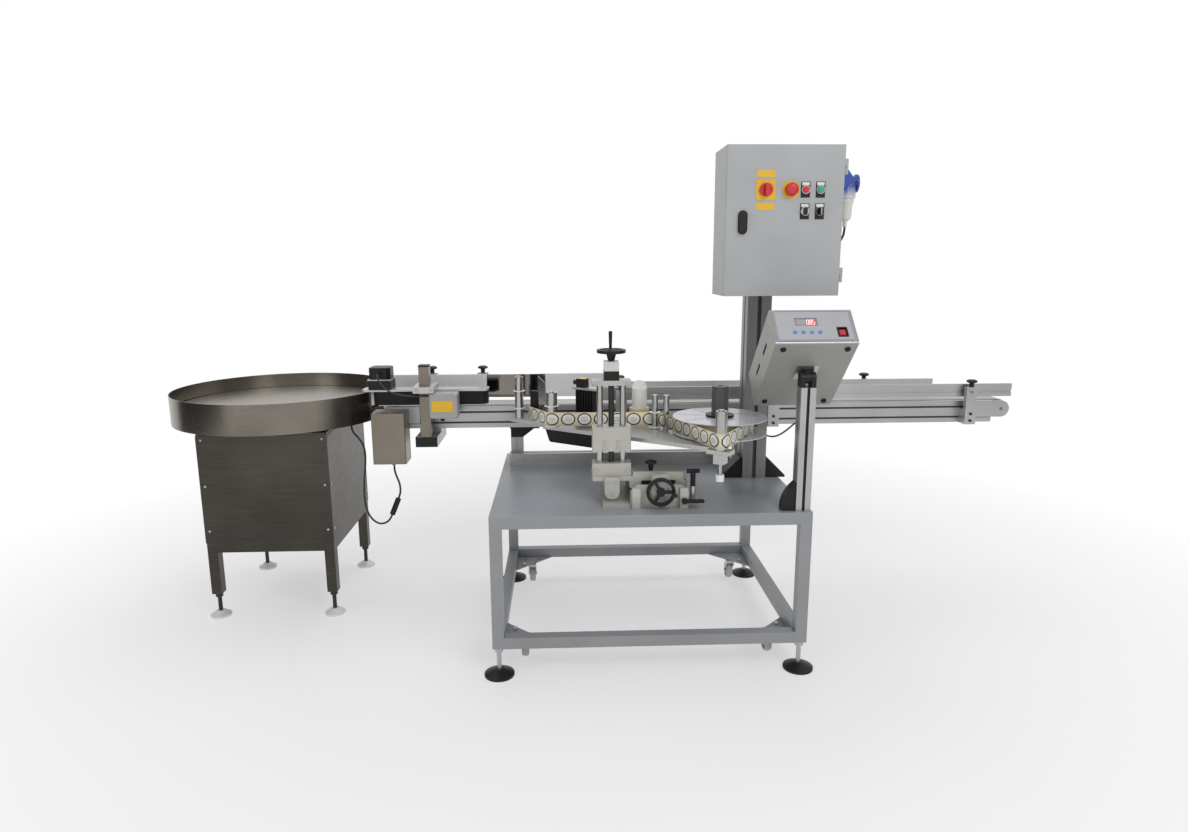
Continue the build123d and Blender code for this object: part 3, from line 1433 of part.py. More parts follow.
lift_wheel_bottom = tower_upper_top + lift_indicator_height + wheel_gap + lift_neck
with BuildPart() as lift_wheel:
    with Locations((tower_x, tower_y, lift_wheel_bottom)):
        add(wheel_blank(handwheel_diameter, handwheel_rim, handwheel_thick, handwheel_hub, lift_grip),
            rotation=(0, 0, 90))
        Cone(lift_screw_diameter * 0.6, handwheel_hub * 0.6, lift_neck, align=hanging)
    screw_bottom = carriage_top + clearance
    with Locations((tower_x, tower_y, screw_bottom)):
        Cylinder(lift_screw_diameter / 2, lift_wheel_bottom - screw_bottom,
                 align=standing)
keep("lift_wheel", lift_wheel)

head_bottom = head_top - head_plate_thick
with BuildPart() as lift_carriage:
    with Locations((tower_x, tower_y, lift_bottom)):
        Box(tower_block_width, tower_block_depth, lift_height, align=standing)
    fillet(lift_carriage.edges().filter_by(Axis.Z), 4)
    with Locations((tower_x, tower_y, lift_bottom)):
        with GridLocations(2 * tower_rod_spread, 0, 2, 1):
            Cylinder(tower_rod_diameter / 2 + running_gap, lift_height,
                     align=standing, mode=Mode.SUBTRACT)
        Cylinder(lift_screw_diameter / 2 + running_gap, lift_height,
                 align=standing, mode=Mode.SUBTRACT)
    with Locations((tower_x, tower_y + tower_block_depth / 2, head_bottom)):
        Box(shelf_width, shelf_reach, shelf_thick, align=(Align.CENTER, Align.MIN, Align.MAX))
keep("lift_carriage", lift_carriage)

# Labelling head: plate with its pins and posts, cover, web, rollers and reel
ring_low = web_bottom - head_top - ring_thick - clearance
ring_high = web_bottom - head_top + web_height + clearance
peel_v = press_v - 12
with BuildPart() as head_plate:
    with BuildSketch(head_plane.offset(-head_plate_thick)):
        with BuildLine():
            Polyline((0, 0), (head_length, 0), (head_length, head_depth), (head_cut_u, head_depth),
                     (0, head_cut_v), close=True)
        make_face()
        with Locations((-arm_reach / 2, press_v)):
            Rectangle(arm_reach + 2, arm_width)
        with Locations((head_length + tension_reach / 2, tension_v + arm_width / 4)):
            Rectangle(tension_reach + 20, arm_width)
    extrude(amount=head_plate_thick)
    with BuildSketch(head_plane):
        with Locations((guide_u, guide_v), (press_u, press_v), (spool_u, spool_v), (tension_u, tension_v)):
            Circle(roll_pin_diameter / 2)
    extrude(amount=guide_roller_height)
    with BuildSketch(head_plane):
        with Locations((press_u, press_v)):
            Circle(press_roller_diameter / 2)
    extrude(amount=press_lift - clearance)
    with BuildSketch(head_plane):
        with Locations((reel_u, reel_v)):
            Circle(spindle_diameter / 2)
    extrude(amount=reel_core_top - head_top - 6)
    with BuildSketch(head_plane):
        with Locations((post_one_u, post_one_v), (post_two_u, post_two_v)):
            Circle(post_diameter / 2)
    extrude(amount=guide_roller_height - 4)
    for ring_z in (ring_low, ring_high):
        with BuildSketch(head_plane.offset(ring_z)):
            with Locations((post_one_u, post_one_v)):
                Circle(post_collar / 2)
        extrude(amount=ring_thick)
    with BuildSketch(Plane(head_plane.from_local_coords(Vector(peel_u, peel_v, 0)), x_dir=head_plane.x_dir,
                           z_dir=-head_plane.y_dir)):
        with BuildLine():
            Polyline((0, 0), (peel_length, 0), (peel_length, peel_height - peel_slant), (0, peel_height),
                     close=True)
        make_face()
    extrude(amount=peel_thick)
    with BuildSketch(head_plane):
        with Locations((peel_u - peel_block_length / 2 - 1, peel_v)):
            Rectangle(peel_block_length, peel_block_thick)
    extrude(amount=peel_block_height)
    with BuildSketch(head_plane):
        with Locations((sensor_u, sensor_v)):
            Rectangle(sensor_length, sensor_depth)
        with Locations((sensor_u, sensor_v - sensor_depth / 2)):
            with GridLocations(fin_pitch, 0, 6, 1):
                Rectangle(fin_gap, 2 * fin_depth, mode=Mode.SUBTRACT)
    extrude(amount=sensor_height)
    with BuildSketch(head_plane.offset(sensor_height)):
        with Locations((sensor_u, sensor_v)):
            Rectangle(sensor_cap_length, sensor_depth)
    extrude(amount=sensor_cap_thick)
    with BuildSketch(head_plane.offset(sensor_height + sensor_cap_thick)):
        with Locations((sensor_u - sensor_length / 4, sensor_v)):
            Rectangle(eye_length, eye_depth)
    extrude(amount=eye_height)
    eye_side = Vector(sensor_u - sensor_length / 4 - eye_length / 2, sensor_v,
                      sensor_height + sensor_cap_thick + eye_height / 2)
    with BuildSketch(Plane(head_plane.from_local_coords(eye_side), x_dir=head_plane.y_dir,
                           z_dir=-head_plane.x_dir)):
        Circle(eye_knob / 2)
    extrude(amount=eye_knob)
    with BuildSketch(head_plane.offset(-head_plate_thick)):
        with Locations((tension_u, tension_v)):
            Rectangle(tension_block, tension_block)
    extrude(amount=-tension_block_height)
    with BuildSketch(head_plane.offset(-head_plate_thick - tension_block_height)):
        with Locations((tension_u, tension_v)):
            Circle(tension_rod / 2)
    extrude(amount=-tension_rod_length)
    with BuildSketch(head_plane.offset(-head_plate_thick - tension_block_height - tension_rod_length)):
        with Locations((tension_u, tension_v)):
            Circle(tension_cup / 2)
    extrude(amount=-tension_cup_height)
keep("head_plate", head_plate)

with BuildPart() as head_cover:
    with BuildSketch(head_plane.offset(-head_plate_thick)):
        with Locations((cover_u + head_cover_length / 2, cover_v + head_cover_depth / 2)):
            Rectangle(head_cover_length, head_cover_depth)
    extrude(amount=-head_cover_drop, taper=12)
    fillet(head_cover.edges().group_by(Axis.Z)[0], 12)
keep("head_cover", head_cover)

web_wraps = (((reel_u, reel_v), -reel_roll_radius), ((tension_u, tension_v), -tension_roller_diameter / 2),
             ((post_two_u, post_two_v), -post_diameter / 2), ((post_one_u, post_one_v), post_diameter / 2),
             ((guide_u, guide_v), -guide_roller_diameter / 2), ((peel_u - peel_block_length, peel_web_v), 0))


def web_path(wraps):
    """Straight runs of the web that touch each roller, a negative radius where it passes with the roller on
    its right: the first point, the corners where runs meet, the last point and the corners' radii."""
    lines, bends = [], []
    for (here, radius), (there, next_radius) in zip(wraps, wraps[1:]):
        way = Vector(there) - Vector(here)
        first, second = (r + (web_thick / 2 + web_gap) * (r > 0) - (web_thick / 2 + web_gap) * (r < 0)
                         for r in (radius, next_radius))
        lean = (second - first) / way.length
        along = way.normalized()
        normal = along * lean + Vector(-along.Y, along.X) * (1 - lean ** 2) ** 0.5
        lines.append((normal, normal.dot(Vector(here)) - first))
        bends.append(abs(second))
    corners = []
    for (one, reach), (two, next_reach) in zip(lines, lines[1:]):
        cross = one.X * two.Y - one.Y * two.X
        corners.append(Vector((reach * two.Y - next_reach * one.Y) / cross,
                              (one.X * next_reach - two.X * reach) / cross))
    first_normal, first_reach = lines[0]
    reel_middle = Vector(wraps[0][0])
    start = reel_middle + first_normal * (first_reach - first_normal.dot(reel_middle))
    return [start] + corners + [Vector(wraps[-1][0])], bends[:-1]


web_points, web_radii = web_path(web_wraps)
print("web", [(round(point.X, 1), round(point.Y, 1)) for point in web_points], [round(r, 1) for r in web_radii])
with BuildPart() as label_web:
    with BuildSketch(head_plane.offset(web_bottom - head_top)):
        with BuildLine():
            FilletPolyline(*web_points, radius=web_radii)
        trace(line_width=web_thick)
    extrude(amount=web_height)
keep("label_web", label_web)


def roller_blank(diameter, height, rings):
    """Roller with a running bore, an end collar and guide rings, standing on its lower end."""
    with BuildPart() as blank:
        Cylinder(diameter / 2, height, align=standing)
        for ring in rings:
            with Locations((0, 0, ring)):
                Cylinder(diameter / 2 + ring_reach, ring_thick, align=standing)
        with Locations((0, 0, height)):
            Cylinder(roll_pin_diameter * 0.8, 4, align=standing)
        Cylinder(roll_pin_diameter / 2 + running_gap, height + 4 - collar_roof,
                 align=standing, mode=Mode.SUBTRACT)
    return blank.part


roller_lift = 2
rollers = {"guide_roller": (guide_u, guide_v, roller_lift, guide_roller_diameter, guide_roller_height,
                            (ring_low - roller_lift, ring_high - roller_lift + guide_ring_rise)),
           "press_roller": (press_u, press_v, press_lift, press_roller_diameter, press_roller_height,
                            (0, press_roller_height * 0.55)),
           "tension_roller": (tension_u, tension_v, roller_lift, tension_roller_diameter, guide_roller_height,
                              ())}
for name, (roller_u, roller_v, lift, diameter, height, rings) in rollers.items():
    with BuildPart(head_plane) as roller:
        with Locations((roller_u, roller_v, lift)):
            add(roller_blank(diameter, height, rings))
    keep(name, roller)

with BuildPart() as rewind_spool:
    with BuildSketch(head_plane.offset(2)):
        with Locations((spool_u, spool_v)):
            Circle(spool_flange / 2)
    extrude(amount=3)
    with BuildSketch(head_plane.offset(5)):
        with Locations((spool_u, spool_v)):
            Circle(spool_liner / 2)
    extrude(amount=web_height)
    with BuildSketch(head_plane.offset(5 + web_height)):
        with Locations((spool_u, spool_v)):
            Circle(spool_diameter / 2)
    extrude(amount=spool_height - web_height)
    clip_plane = Plane(head_plane.from_local_coords(Vector(spool_u, spool_v, 5 + spool_height)),
                       x_dir=(1, 0, 0), z_dir=(0, -1, 0))
    with BuildSketch(clip_plane):
        Circle(spool_diameter / 2)
        with Locations((0, -spool_diameter / 2)):
            Rectangle(spool_diameter, spool_diameter, mode=Mode.SUBTRACT)
    extrude(amount=-6)
    with BuildSketch(head_plane):
        with Locations((spool_u, spool_v)):
            Circle(roll_pin_diameter / 2 + running_gap)
    extrude(amount=guide_roller_height + clearance, mode=Mode.SUBTRACT)
keep("rewind_spool", rewind_spool)

with BuildPart() as reel_turned:
    with BuildSketch(Plane.XZ):
        with BuildLine():
            bore = spindle_diameter / 2 + running_gap
            low = web_bottom - head_top - reel_disc_thick
            high = web_bottom - head_top + web_height
            flange_low = high + reel_disc_thick
            flange_high = flange_low + hub_flange_thick
            core_end = reel_core_top - head_top
            Polyline((bore, low), (reel_radius, low), (reel_radius, low + reel_disc_thick),
                     (reel_roll_radius, low + reel_disc_thick), (reel_roll_radius, high),
                     (reel_radius, high), (reel_radius, flange_low), (hub_flange / 2, flange_low),
                     (hub_flange / 2, flange_high), (reel_core_diameter / 2, flange_high),
                     (reel_core_diameter / 2, core_end), (bore, core_end), close=True)
        make_face()
    revolve(axis=Axis.Z)
with BuildPart(head_plane) as label_reel:
    with Locations((reel_u, reel_v, 0)):
        add(reel_turned.part)
keep("label_reel", label_reel)


# Leads: straight runs joined by arcs as large as the runs allow
def lead_path(points):
    """Path through hand-chosen points, each corner rounded by 0.45 of its shorter run."""
    vectors = [Vector(*point) for point in points]
    radii = []
    for before, here, after in zip(vectors, vectors[1:], vectors[2:]):
        shorter = min((here - before).length, (after - here).length)
        turn = radians((here - before).get_angle(after - here))
        radii.append(0.45 * shorter / tan(turn / 2))
    print("lead radii", [round(radius) for radius in radii])
    return vectors, radii


def lead_tube(points, diameter):
    """Tube of one diameter along a lead's route."""
    vectors, radii = lead_path(points)
    with BuildPart() as tube_part:
        with BuildLine() as route:
            FilletPolyline(*vectors, radius=radii)
        path = route.wire()
        with BuildSketch(Plane(path @ 0, z_dir=path % 0)) as section:
            Circle(diameter / 2)
        sweep(path=path)
    share = tube_part.part.volume / (section.sketch.area * path.length)
    print("lead length", round(path.length), "volume share", round(share, 4))
    return tube_part.part


connector_start = Vector(-996, 596, 400)
connector_way = Vector(0.392, -0.0135, 0.92).normalized()
connector_end = connector_start + connector_way * connector_length
tray_lead_lower_route = (
    (tray_gland_x, tray_gland_y, rim_bottom - gland_length), (tray_gland_x, tray_gland_y, 750),
    (-1142, 638, 732), (-1124, 634, 714), (-1106, 630, 690), (-1097, 626, 652), (-1099, 620, 600),
    (-1106, 614, 540), (-1108, 609, 480), (-1103, 605, 425), (-1085, 602, 382), (-1052, 599, 358),
    (-1022, 597, 364), tuple(connector_start - connector_way * 20), tuple(connector_start))
tray_lead_upper_route = (
    tuple(connector_end), tuple(connector_end + connector_way * 20), (-957, 594.4, 510), (-960, 594.2, 534),
    (-970, 594, 561), (drive_gland_x, drive_gland_y, 586),
    (drive_gland_x, drive_gland_y, drive_box_bottom - gland_length))
motor_gland_y = spacer_y - motor_size / 2 - gland_length
motor_gland_z = spacer_plate_top + motor_gland_rise
terminal_left = terminal_x - terminal_box_width / 2
motor_lead_route = (
    (pulley_x, motor_gland_y, motor_gland_z), (pulley_x, motor_gland_y - 20, motor_gland_z),
    (pulley_x + 6, 548, 962), (pulley_x + 20, 542, 940), (pulley_x + 42, 540, 920), (pulley_x + 74, 540, 905),
    (pulley_x + 112, 542, 898), (-864, 544, motor_lead_end_z), (-840, 546, motor_lead_end_z),
    (terminal_left, 546, motor_lead_end_z))
with BuildPart() as tray_lead:
    add(lead_tube(tray_lead_lower_route, lead_diameter))
    add(lead_tube(tray_lead_upper_route, lead_diameter))
    add(lead_tube(motor_lead_route, thin_lead_diameter))
keep("tray_lead", tray_lead)

with BuildPart() as lead_connector:
    with BuildSketch(Plane(connector_start, z_dir=connector_way)):
        Circle(connector_diameter / 2)
    extrude(amount=connector_length)
    fillet(lead_connector.edges(), connector_diameter / 8)
keep("lead_connector", lead_connector)

supply_route = (
    (socket_x, outlet_y, plug_bottom), (socket_x, outlet_y, 1504), (socket_x - 4, outlet_y + 16, 1482),
    (socket_x - 12, outlet_y + 44, 1458), (socket_x - 24, outlet_y + 84, 1438),
    (socket_x - 44, outlet_y + 126, 1424), (socket_x - 84, outlet_y + 154, 1414),
    (socket_x - 125, outlet_y + 160, 1408), (column_right + 50, column_y, supply_gland_z),
    (column_right + gland_length, column_y, supply_gland_z))
with BuildPart() as supply_lead:
    add(lead_tube(supply_route, lead_diameter))
keep("supply_lead", supply_lead)

control_lead_route = (
    (control_x, control_post_back + gland_length, lead_exit_z), (control_x, 112, lead_exit_z),
    (510, 150, 852), (504, 196, 824), (496, 246, 796), (488, 298, 774), (480, 346, 763),
    (control_gland_x, 392, control_gland_z), (control_gland_x, column_front - gland_length, control_gland_z))
with BuildPart() as control_lead:
    add(lead_tube(control_lead_route, thin_lead_diameter))
keep("control_lead", control_lead)

# Origin: middle of the machine's footprint at floor level, measured without its leads
leads = ("tray_lead", "lead_connector", "supply_lead", "control_lead")
boxes = [piece.part.bounding_box() for name, piece in pieces.items() if name not in leads]
origin_x = (min(box.min.X for box in boxes) + max(box.max.X for box in boxes)) / 2
origin_y = (min(box.min.Y for box in boxes) + max(box.max.Y for box in boxes)) / 2
print("origin", round(origin_x, 3), round(origin_y, 3))
for name, piece in pieces.items():
    piece.part.move(Location((-origin_x, -origin_y, 0)))
    piece.part.label = name
    export_step(piece.part, f"parts/{name}.step")
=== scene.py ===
"""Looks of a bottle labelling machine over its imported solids.

Places are in millimetres in the cart's own frame: x along the line from the cart's middle, y from the
cart's front edge, z from the floor. One function turns them into the row's metres.
"""
import json
import logging
from dataclasses import dataclass
from enum import Enum
from typing import Callable, Sequence

import bpy
import numpy as np
from mathutils import Matrix

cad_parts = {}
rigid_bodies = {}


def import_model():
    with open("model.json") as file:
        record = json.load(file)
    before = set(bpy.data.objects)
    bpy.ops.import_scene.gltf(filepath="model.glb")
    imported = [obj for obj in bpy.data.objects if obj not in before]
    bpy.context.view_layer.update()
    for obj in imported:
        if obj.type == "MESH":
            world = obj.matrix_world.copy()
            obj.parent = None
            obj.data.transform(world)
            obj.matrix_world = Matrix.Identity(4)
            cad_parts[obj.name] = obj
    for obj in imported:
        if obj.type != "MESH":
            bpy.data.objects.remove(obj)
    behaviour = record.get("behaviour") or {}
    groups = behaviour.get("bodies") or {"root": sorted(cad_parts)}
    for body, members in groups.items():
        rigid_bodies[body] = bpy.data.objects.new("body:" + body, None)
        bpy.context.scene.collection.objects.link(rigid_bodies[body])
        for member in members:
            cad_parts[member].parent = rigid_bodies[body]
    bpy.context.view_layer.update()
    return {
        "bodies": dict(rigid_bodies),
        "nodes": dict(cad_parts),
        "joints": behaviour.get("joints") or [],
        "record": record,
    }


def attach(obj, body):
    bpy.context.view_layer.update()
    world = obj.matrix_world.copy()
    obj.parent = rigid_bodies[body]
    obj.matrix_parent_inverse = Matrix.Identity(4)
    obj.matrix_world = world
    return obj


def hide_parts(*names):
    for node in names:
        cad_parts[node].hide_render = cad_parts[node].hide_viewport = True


LOG = logging.getLogger("labelling_machine")
MM = 0.001
CART_TO_ROW = np.array((165.0, -586.634, 0.0))
HEAD_ORIGIN = np.array((-371.0, 425.0))
HEAD_TURN = np.radians(-34.6)
PANEL_MIDDLE = np.array((514.0, 0.05, 1203.6))
HALF = float(np.sqrt(0.5))
# Share of a normal past which a face counts as square to an axis
SQUARE = 0.9
CORNER_POINTS = 6
ARC_POINTS = 13
HEX_SIDES = 6
ROUND_SIDES = 14
LEAST_RADIUS = 0.05
Shape = tuple[np.ndarray, list[list[int]]]
Span = tuple[float, float]
Spot = tuple[float, float, float]
ANY: Span = (-np.inf, np.inf)


class Facing(Enum):
    """Which way a fitting looks; its rows are the fitting's own x, y and outward axes."""

    UP = ((1, 0, 0), (0, 1, 0), (0, 0, 1))
    FRONT = ((1, 0, 0), (0, 0, 1), (0, -1, 0))
    BACK = ((-1, 0, 0), (0, 0, 1), (0, 1, 0))
    LEFT = ((0, -1, 0), (0, 0, 1), (-1, 0, 0))
    RIGHT = ((0, 1, 0), (0, 0, 1), (1, 0, 0))
    PANEL = ((1, 0, 0), (0, HALF, HALF), (0, -HALF, HALF))

    @property
    def axes(self) -> np.ndarray:
        """The three axes as rows of one array."""
        return np.array(self.value, dtype=float)


class Grain(Enum):
    """How a surface was made, as the stretch of its fine pattern along x, y and z."""

    EVEN = (1.0, 1.0, 1.0)
    BRUSHED_X = (60.0, 1.0, 1.0)
    BRUSHED_Y = (1.0, 60.0, 1.0)
    BRUSHED_Z = (1.0, 1.0, 60.0)
    SLANTED = (30.0, 30.0, 2.0)


class Screw(Enum):
    """Screw head outlines as radius and height pairs, in head radii."""

    BUTTON = ((1.0, 0.0), (1.0, 0.12), (0.86, 0.42), (0.55, 0.6), (0.42, 0.62), (0.40, 0.28))
    SOCKET = ((1.0, 0.0), (1.0, 0.9), (0.92, 1.05), (0.56, 1.05), (0.54, 0.45))
    HEX = ((1.0, 0.0), (1.0, 0.62), (0.84, 0.74), (0.5, 0.76))


def linear(colour: str) -> tuple[float, float, float, float]:
    """Turn an sRGB hex colour into linear light.

    Args:
        colour: six hex digits after a hash sign.

    Returns:
        Red, green, blue and a full alpha.
    """
    parts = np.array([int(colour[i:i + 2], 16) for i in (1, 3, 5)]) / 255.0
    light = np.where(parts <= 0.04045, parts / 12.92, ((parts + 0.055) / 1.055) ** 2.4)
    return (*(float(value) for value in light), 1.0)


def add_node(tree: bpy.types.NodeTree, kind: str, settings: dict | None = None,
             links: dict | None = None) -> bpy.types.Node:
    """Add a node with its settings and links.

    Args:
        tree: the material's or world's node tree.
        kind: the node's type name.
        settings: values; a key in small letters is a property, any other is an input.
        links: the output that feeds each input.

    Returns:
        The new node.
    """
    node = tree.nodes.new(kind)
    for key, value in (settings or {}).items():
        if isinstance(key, str) and key.islower():
            setattr(node, key, value)
        else:
            node.inputs[key].default_value = value
    for key, output in (links or {}).items():
        tree.links.new(output, node.inputs[key])
    return node


def bare_material(name: str) -> tuple[bpy.types.Material, bpy.types.NodeTree, bpy.types.Node]:
    """Make a material that has only its surface shader.

    Args:
        name: the material's name.

    Returns:
        The material, its tree and its shader.
    """
    material = bpy.data.materials.new(name)
    material.use_nodes = True
    tree = material.node_tree
    return material, tree, next(n for n in tree.nodes if n.type == "BSDF_PRINCIPLED")


def to_row(places: Sequence | np.ndarray) -> np.ndarray:
    """Turn places in the cart's frame, in millimetres, into the row's metres."""
    return (np.asarray(places, dtype=float) + CART_TO_ROW) * MM


def put(obj: bpy.types.Object) -> bpy.types.Object:
    """Link an object to the scene and return it."""
    bpy.context.scene.collection.objects.link(obj)
    return obj


def stand(obj: bpy.types.Object, *columns: Sequence[float] | np.ndarray) -> None:
    """Set an object's matrix from its columns.

    Args:
        obj: the camera or lamp.
        columns: its side, upper and rear axes and its place.
    """
    turn = np.eye(4)
    turn[:3] = np.stack(columns, axis=1)
    obj.matrix_world = Matrix(turn.tolist())


@dataclass(frozen=True)
class Finish:
    """A surface: its colour pair, gloss and the size of its grain.

    The fine grain sways the gloss, the bump and part of the colour; a broad cloud sways the rest.
    """

    name: str
    tint: str
    shade: str
    metallic: float = 0.0
    roughness: float = 0.5
    spread: float = 0.08
    grain: Grain = Grain.EVEN
    grain_mm: float = 2.0
    bump_mm: float = 0.02
    cloud_mm: float = 180.0
    coat: float = 0.0
    glow: float = 0.0
    specular: float = 0.5

    def start(self) -> tuple[bpy.types.Material, bpy.types.NodeTree, bpy.types.Node, bpy.types.Node]:
        """Make the bare material.

        Returns:
            The material, its tree, its surface shader and its coordinates node.
        """
        material, tree, shader = bare_material(self.name)
        shader.inputs["Metallic"].default_value = self.metallic
        shader.inputs["Coat Weight"].default_value = self.coat
        shader.inputs["Specular IOR Level"].default_value = self.specular
        material.diffuse_color = linear(self.tint)
        return material, tree, shader, add_node(tree, "ShaderNodeTexCoord")

    def close(self, shader: bpy.types.Node, colour: bpy.types.NodeSocket, sway: bpy.types.NodeSocket,
              span: Span = (0.0, 1.0), strength: float = 0.0) -> None:
        """Link the colour, and let a pattern sway the gloss and, where it has a strength, the bump.

        Args:
            shader: the surface shader.
            colour: the colour's output.
            sway: the pattern's output.
            span: the pattern's values at the least and the most roughness.
            strength: strength of the bump.
        """
        tree = shader.id_data
        gloss = add_node(tree, "ShaderNodeMapRange", {"From Min": span[0], "From Max": span[1],
                                                      "To Min": self.roughness - self.spread,
                                                      "To Max": self.roughness + self.spread}, {"Value": sway})
        tree.links.new(colour, shader.inputs["Base Color"])
        tree.links.new(gloss.outputs[0], shader.inputs["Roughness"])
        if strength:
            bump = add_node(tree, "ShaderNodeBump", {"Strength": strength, "Distance": self.bump_mm * MM},
                            {"Height": sway})
            tree.links.new(bump.outputs[0], shader.inputs["Normal"])

    def make(self) -> bpy.types.Material:
        """Build the material with its grain and cloud.

        Returns:
            The finished material.
        """
        material, tree, shader, place = self.start()
        stretch = np.array(self.grain.value)
        scale = tuple(float(s) for s in 1.0 / (self.grain_mm * MM * stretch))
        turned = add_node(tree, "ShaderNodeMapping", {"Scale": scale}, {"Vector": place.outputs["Object"]})
        fine = add_node(tree, "ShaderNodeTexNoise", {"Scale": 1.0, "Detail": 3.0, "Roughness": 0.6},
                        {"Vector": turned.outputs[0]})
        cloud = add_node(tree, "ShaderNodeTexNoise", {"Scale": 1.0 / (self.cloud_mm * MM), "Detail": 2.0},
                         {"Vector": place.outputs["Object"]})
        both = add_node(tree, "ShaderNodeMath", {"operation": "ADD"},
                        {0: fine.outputs[0], 1: cloud.outputs[0]})
        share = add_node(tree, "ShaderNodeMapRange", {"From Min": 0.7, "From Max": 1.3},
                         {"Value": both.outputs[0]})
        colour = add_node(tree, "ShaderNodeMix", {"data_type": "RGBA", 6: linear(self.tint), 7: linear(self.shade)},
                          {0: share.outputs[0]})
        self.close(shader, colour.outputs[2], fine.outputs[0], (0.25, 0.75), strength=0.5)
        if self.glow:
            shader.inputs["Emission Color"].default_value = linear(self.tint)
            shader.inputs["Emission Strength"].default_value = self.glow
        return material


@dataclass(frozen=True)
class TurnedFinish(Finish):
    """Metal or paper with fine rings about an upright axis."""

    centre: tuple[float, float] = (0.0, 0.0)

    def make(self) -> bpy.types.Material:
        """Build the material; the ring pattern is noise over the distance from the axis.

        Returns:
            The finished material.
        """
        material, tree, shader, place = self.start()
        moved = add_node(tree, "ShaderNodeMapping",
                         {"Location": tuple(-to_row((*self.centre, 0.0))), "Scale": (1.0, 1.0, 0.0)},
                         {"Vector": place.outputs["Object"]})
        reach = add_node(tree, "ShaderNodeVectorMath", {"operation": "LENGTH"}, {0: moved.outputs[0]})
        rings = add_node(tree, "ShaderNodeTexNoise", {"noise_dimensions": "1D", "Scale": 1.0 / (self.grain_mm * MM),
                                                      "Detail": 2.0}, {"W": reach.outputs["Value"]})
        colour = add_node(tree, "ShaderNodeMix", {"data_type": "RGBA", 6: linear(self.tint), 7: linear(self.shade)},
                          {0: rings.outputs[0]})
        self.close(shader, colour.outputs[2], rings.outputs[0], strength=0.4)
        return material


@dataclass(frozen=True)
class LabelFinish(Finish):
    """Waxed carrier paper with oval labels in dark rings, drawn on the web's own map in metres."""

    pitch_mm: float = 61.0
    oval: float = 0.86
    middle_mm: float = 26.0
    disc_mm: float = 23.2
    ring_mm: float = 18.8
    bar_pitch_mm: float = 6.0
    bar_half_mm: float = 0.9
    bar_share: float = 0.62
    ring_tint: str = "#1e1d1b"
    label_tint: str = "#e2e0da"
    bar_tint: str = "#8d8c88"

    def make(self) -> bpy.types.Material:
        """Build the material: the distance from the nearest label's middle picks paper, ring or label.

        Returns:
            The finished material.
        """
        material, tree, shader, place = self.start()
        along = add_node(tree, "ShaderNodeSeparateXYZ", None, {0: place.outputs["UV"]})
        step = add_node(tree, "ShaderNodeMath", {"operation": "PINGPONG", 1: self.pitch_mm * MM / 2},
                        {0: along.outputs[0]})
        rise = add_node(tree, "ShaderNodeMath", {"operation": "SUBTRACT", 1: self.middle_mm * MM},
                        {0: along.outputs[1]})
        squeezed = add_node(tree, "ShaderNodeMath", {"operation": "MULTIPLY", 1: self.oval}, {0: step.outputs[0]})
        spot = add_node(tree, "ShaderNodeCombineXYZ", None, {0: squeezed.outputs[0], 1: rise.outputs[0]})
        reach = add_node(tree, "ShaderNodeVectorMath", {"operation": "LENGTH"}, {0: spot.outputs[0]})
        disc, core, inner = (add_node(tree, "ShaderNodeMath", {"operation": "LESS_THAN", 1: size * MM},
                                      {0: reach.outputs["Value"]})
                             for size in (self.disc_mm, self.ring_mm, self.ring_mm * self.bar_share))
        half = self.bar_pitch_mm * MM / 2
        bars = add_node(tree, "ShaderNodeMath", {"operation": "WRAP", 1: half, 2: -half}, {0: rise.outputs[0]})
        thin = add_node(tree, "ShaderNodeMath", {"operation": "COMPARE", 1: 0.0, 2: self.bar_half_mm * MM},
                        {0: bars.outputs[0]})
        marks = add_node(tree, "ShaderNodeMath", {"operation": "MULTIPLY"},
                         {0: thin.outputs[0], 1: inner.outputs[0]})
        fibre = add_node(tree, "ShaderNodeTexNoise", {"Scale": 1.0 / (self.grain_mm * MM), "Detail": 3.0},
                         {"Vector": place.outputs["Object"]})
        colour = add_node(tree, "ShaderNodeMix", {"data_type": "RGBA", 6: linear(self.tint), 7: linear(self.shade)},
                          {0: fibre.outputs[0]})
        for mask, tint in ((disc, self.ring_tint), (core, self.label_tint), (marks, self.bar_tint)):
            colour = add_node(tree, "ShaderNodeMix", {"data_type": "RGBA", 7: linear(tint)},
                              {0: mask.outputs[0], 6: colour.outputs[2]})
        self.close(shader, colour.outputs[2], fibre.outputs[0])
        return material


# Powder coat: a fine pebbled skin with soft highlights
CART_PAINT = Finish("powder_coat_cart_grey", "#8b8d90", "#95979a", roughness=0.42, grain_mm=1.6, bump_mm=0.05)
# Stoved enamel on sheet: smoother, so the table shows blurred reflections
TABLE_PAINT = Finish("stoved_enamel_table_grey", "#8d9197", "#969aa0", roughness=0.34, grain_mm=2.4, bump_mm=0.02)
# Structured powder coat: a coarser pebble that breaks the light on the cabinet
CABINET_PAINT = Finish("structured_powder_coat_grey", "#a2a4a6", "#adafb0", roughness=0.5, grain_mm=1.2,
                       bump_mm=0.07)
# Fine bead blasted plates: even warm grey with a dull sheen
BLASTED = Finish("bead_blasted_anodised_aluminium", "#b0aea6", "#bdbbb4", metallic=0.35, roughness=0.48,
                 grain_mm=1.0, bump_mm=0.02)
# Brushed stainless: long fine scratches that stretch the light across them; drawn coarser so they show. Front and
# side are lit and shaded copies of it: the front tinted darker as painted shade, the side lighter as painted light
STEEL_FRONT_SHADED = Finish("brushed_stainless_along_line_painted_shade", "#3d3a36", "#534f4a", metallic=0.9, roughness=0.36,
                     spread=0.1, grain=Grain.BRUSHED_X, grain_mm=2.2, bump_mm=0.02, cloud_mm=320)
STEEL_SIDE_LIT = Finish("brushed_stainless_slanted_painted_light", "#484641", "#605d58", metallic=0.9, roughness=0.38, spread=0.1,
                    grain=Grain.SLANTED, grain_mm=2.4, bump_mm=0.02, cloud_mm=260)
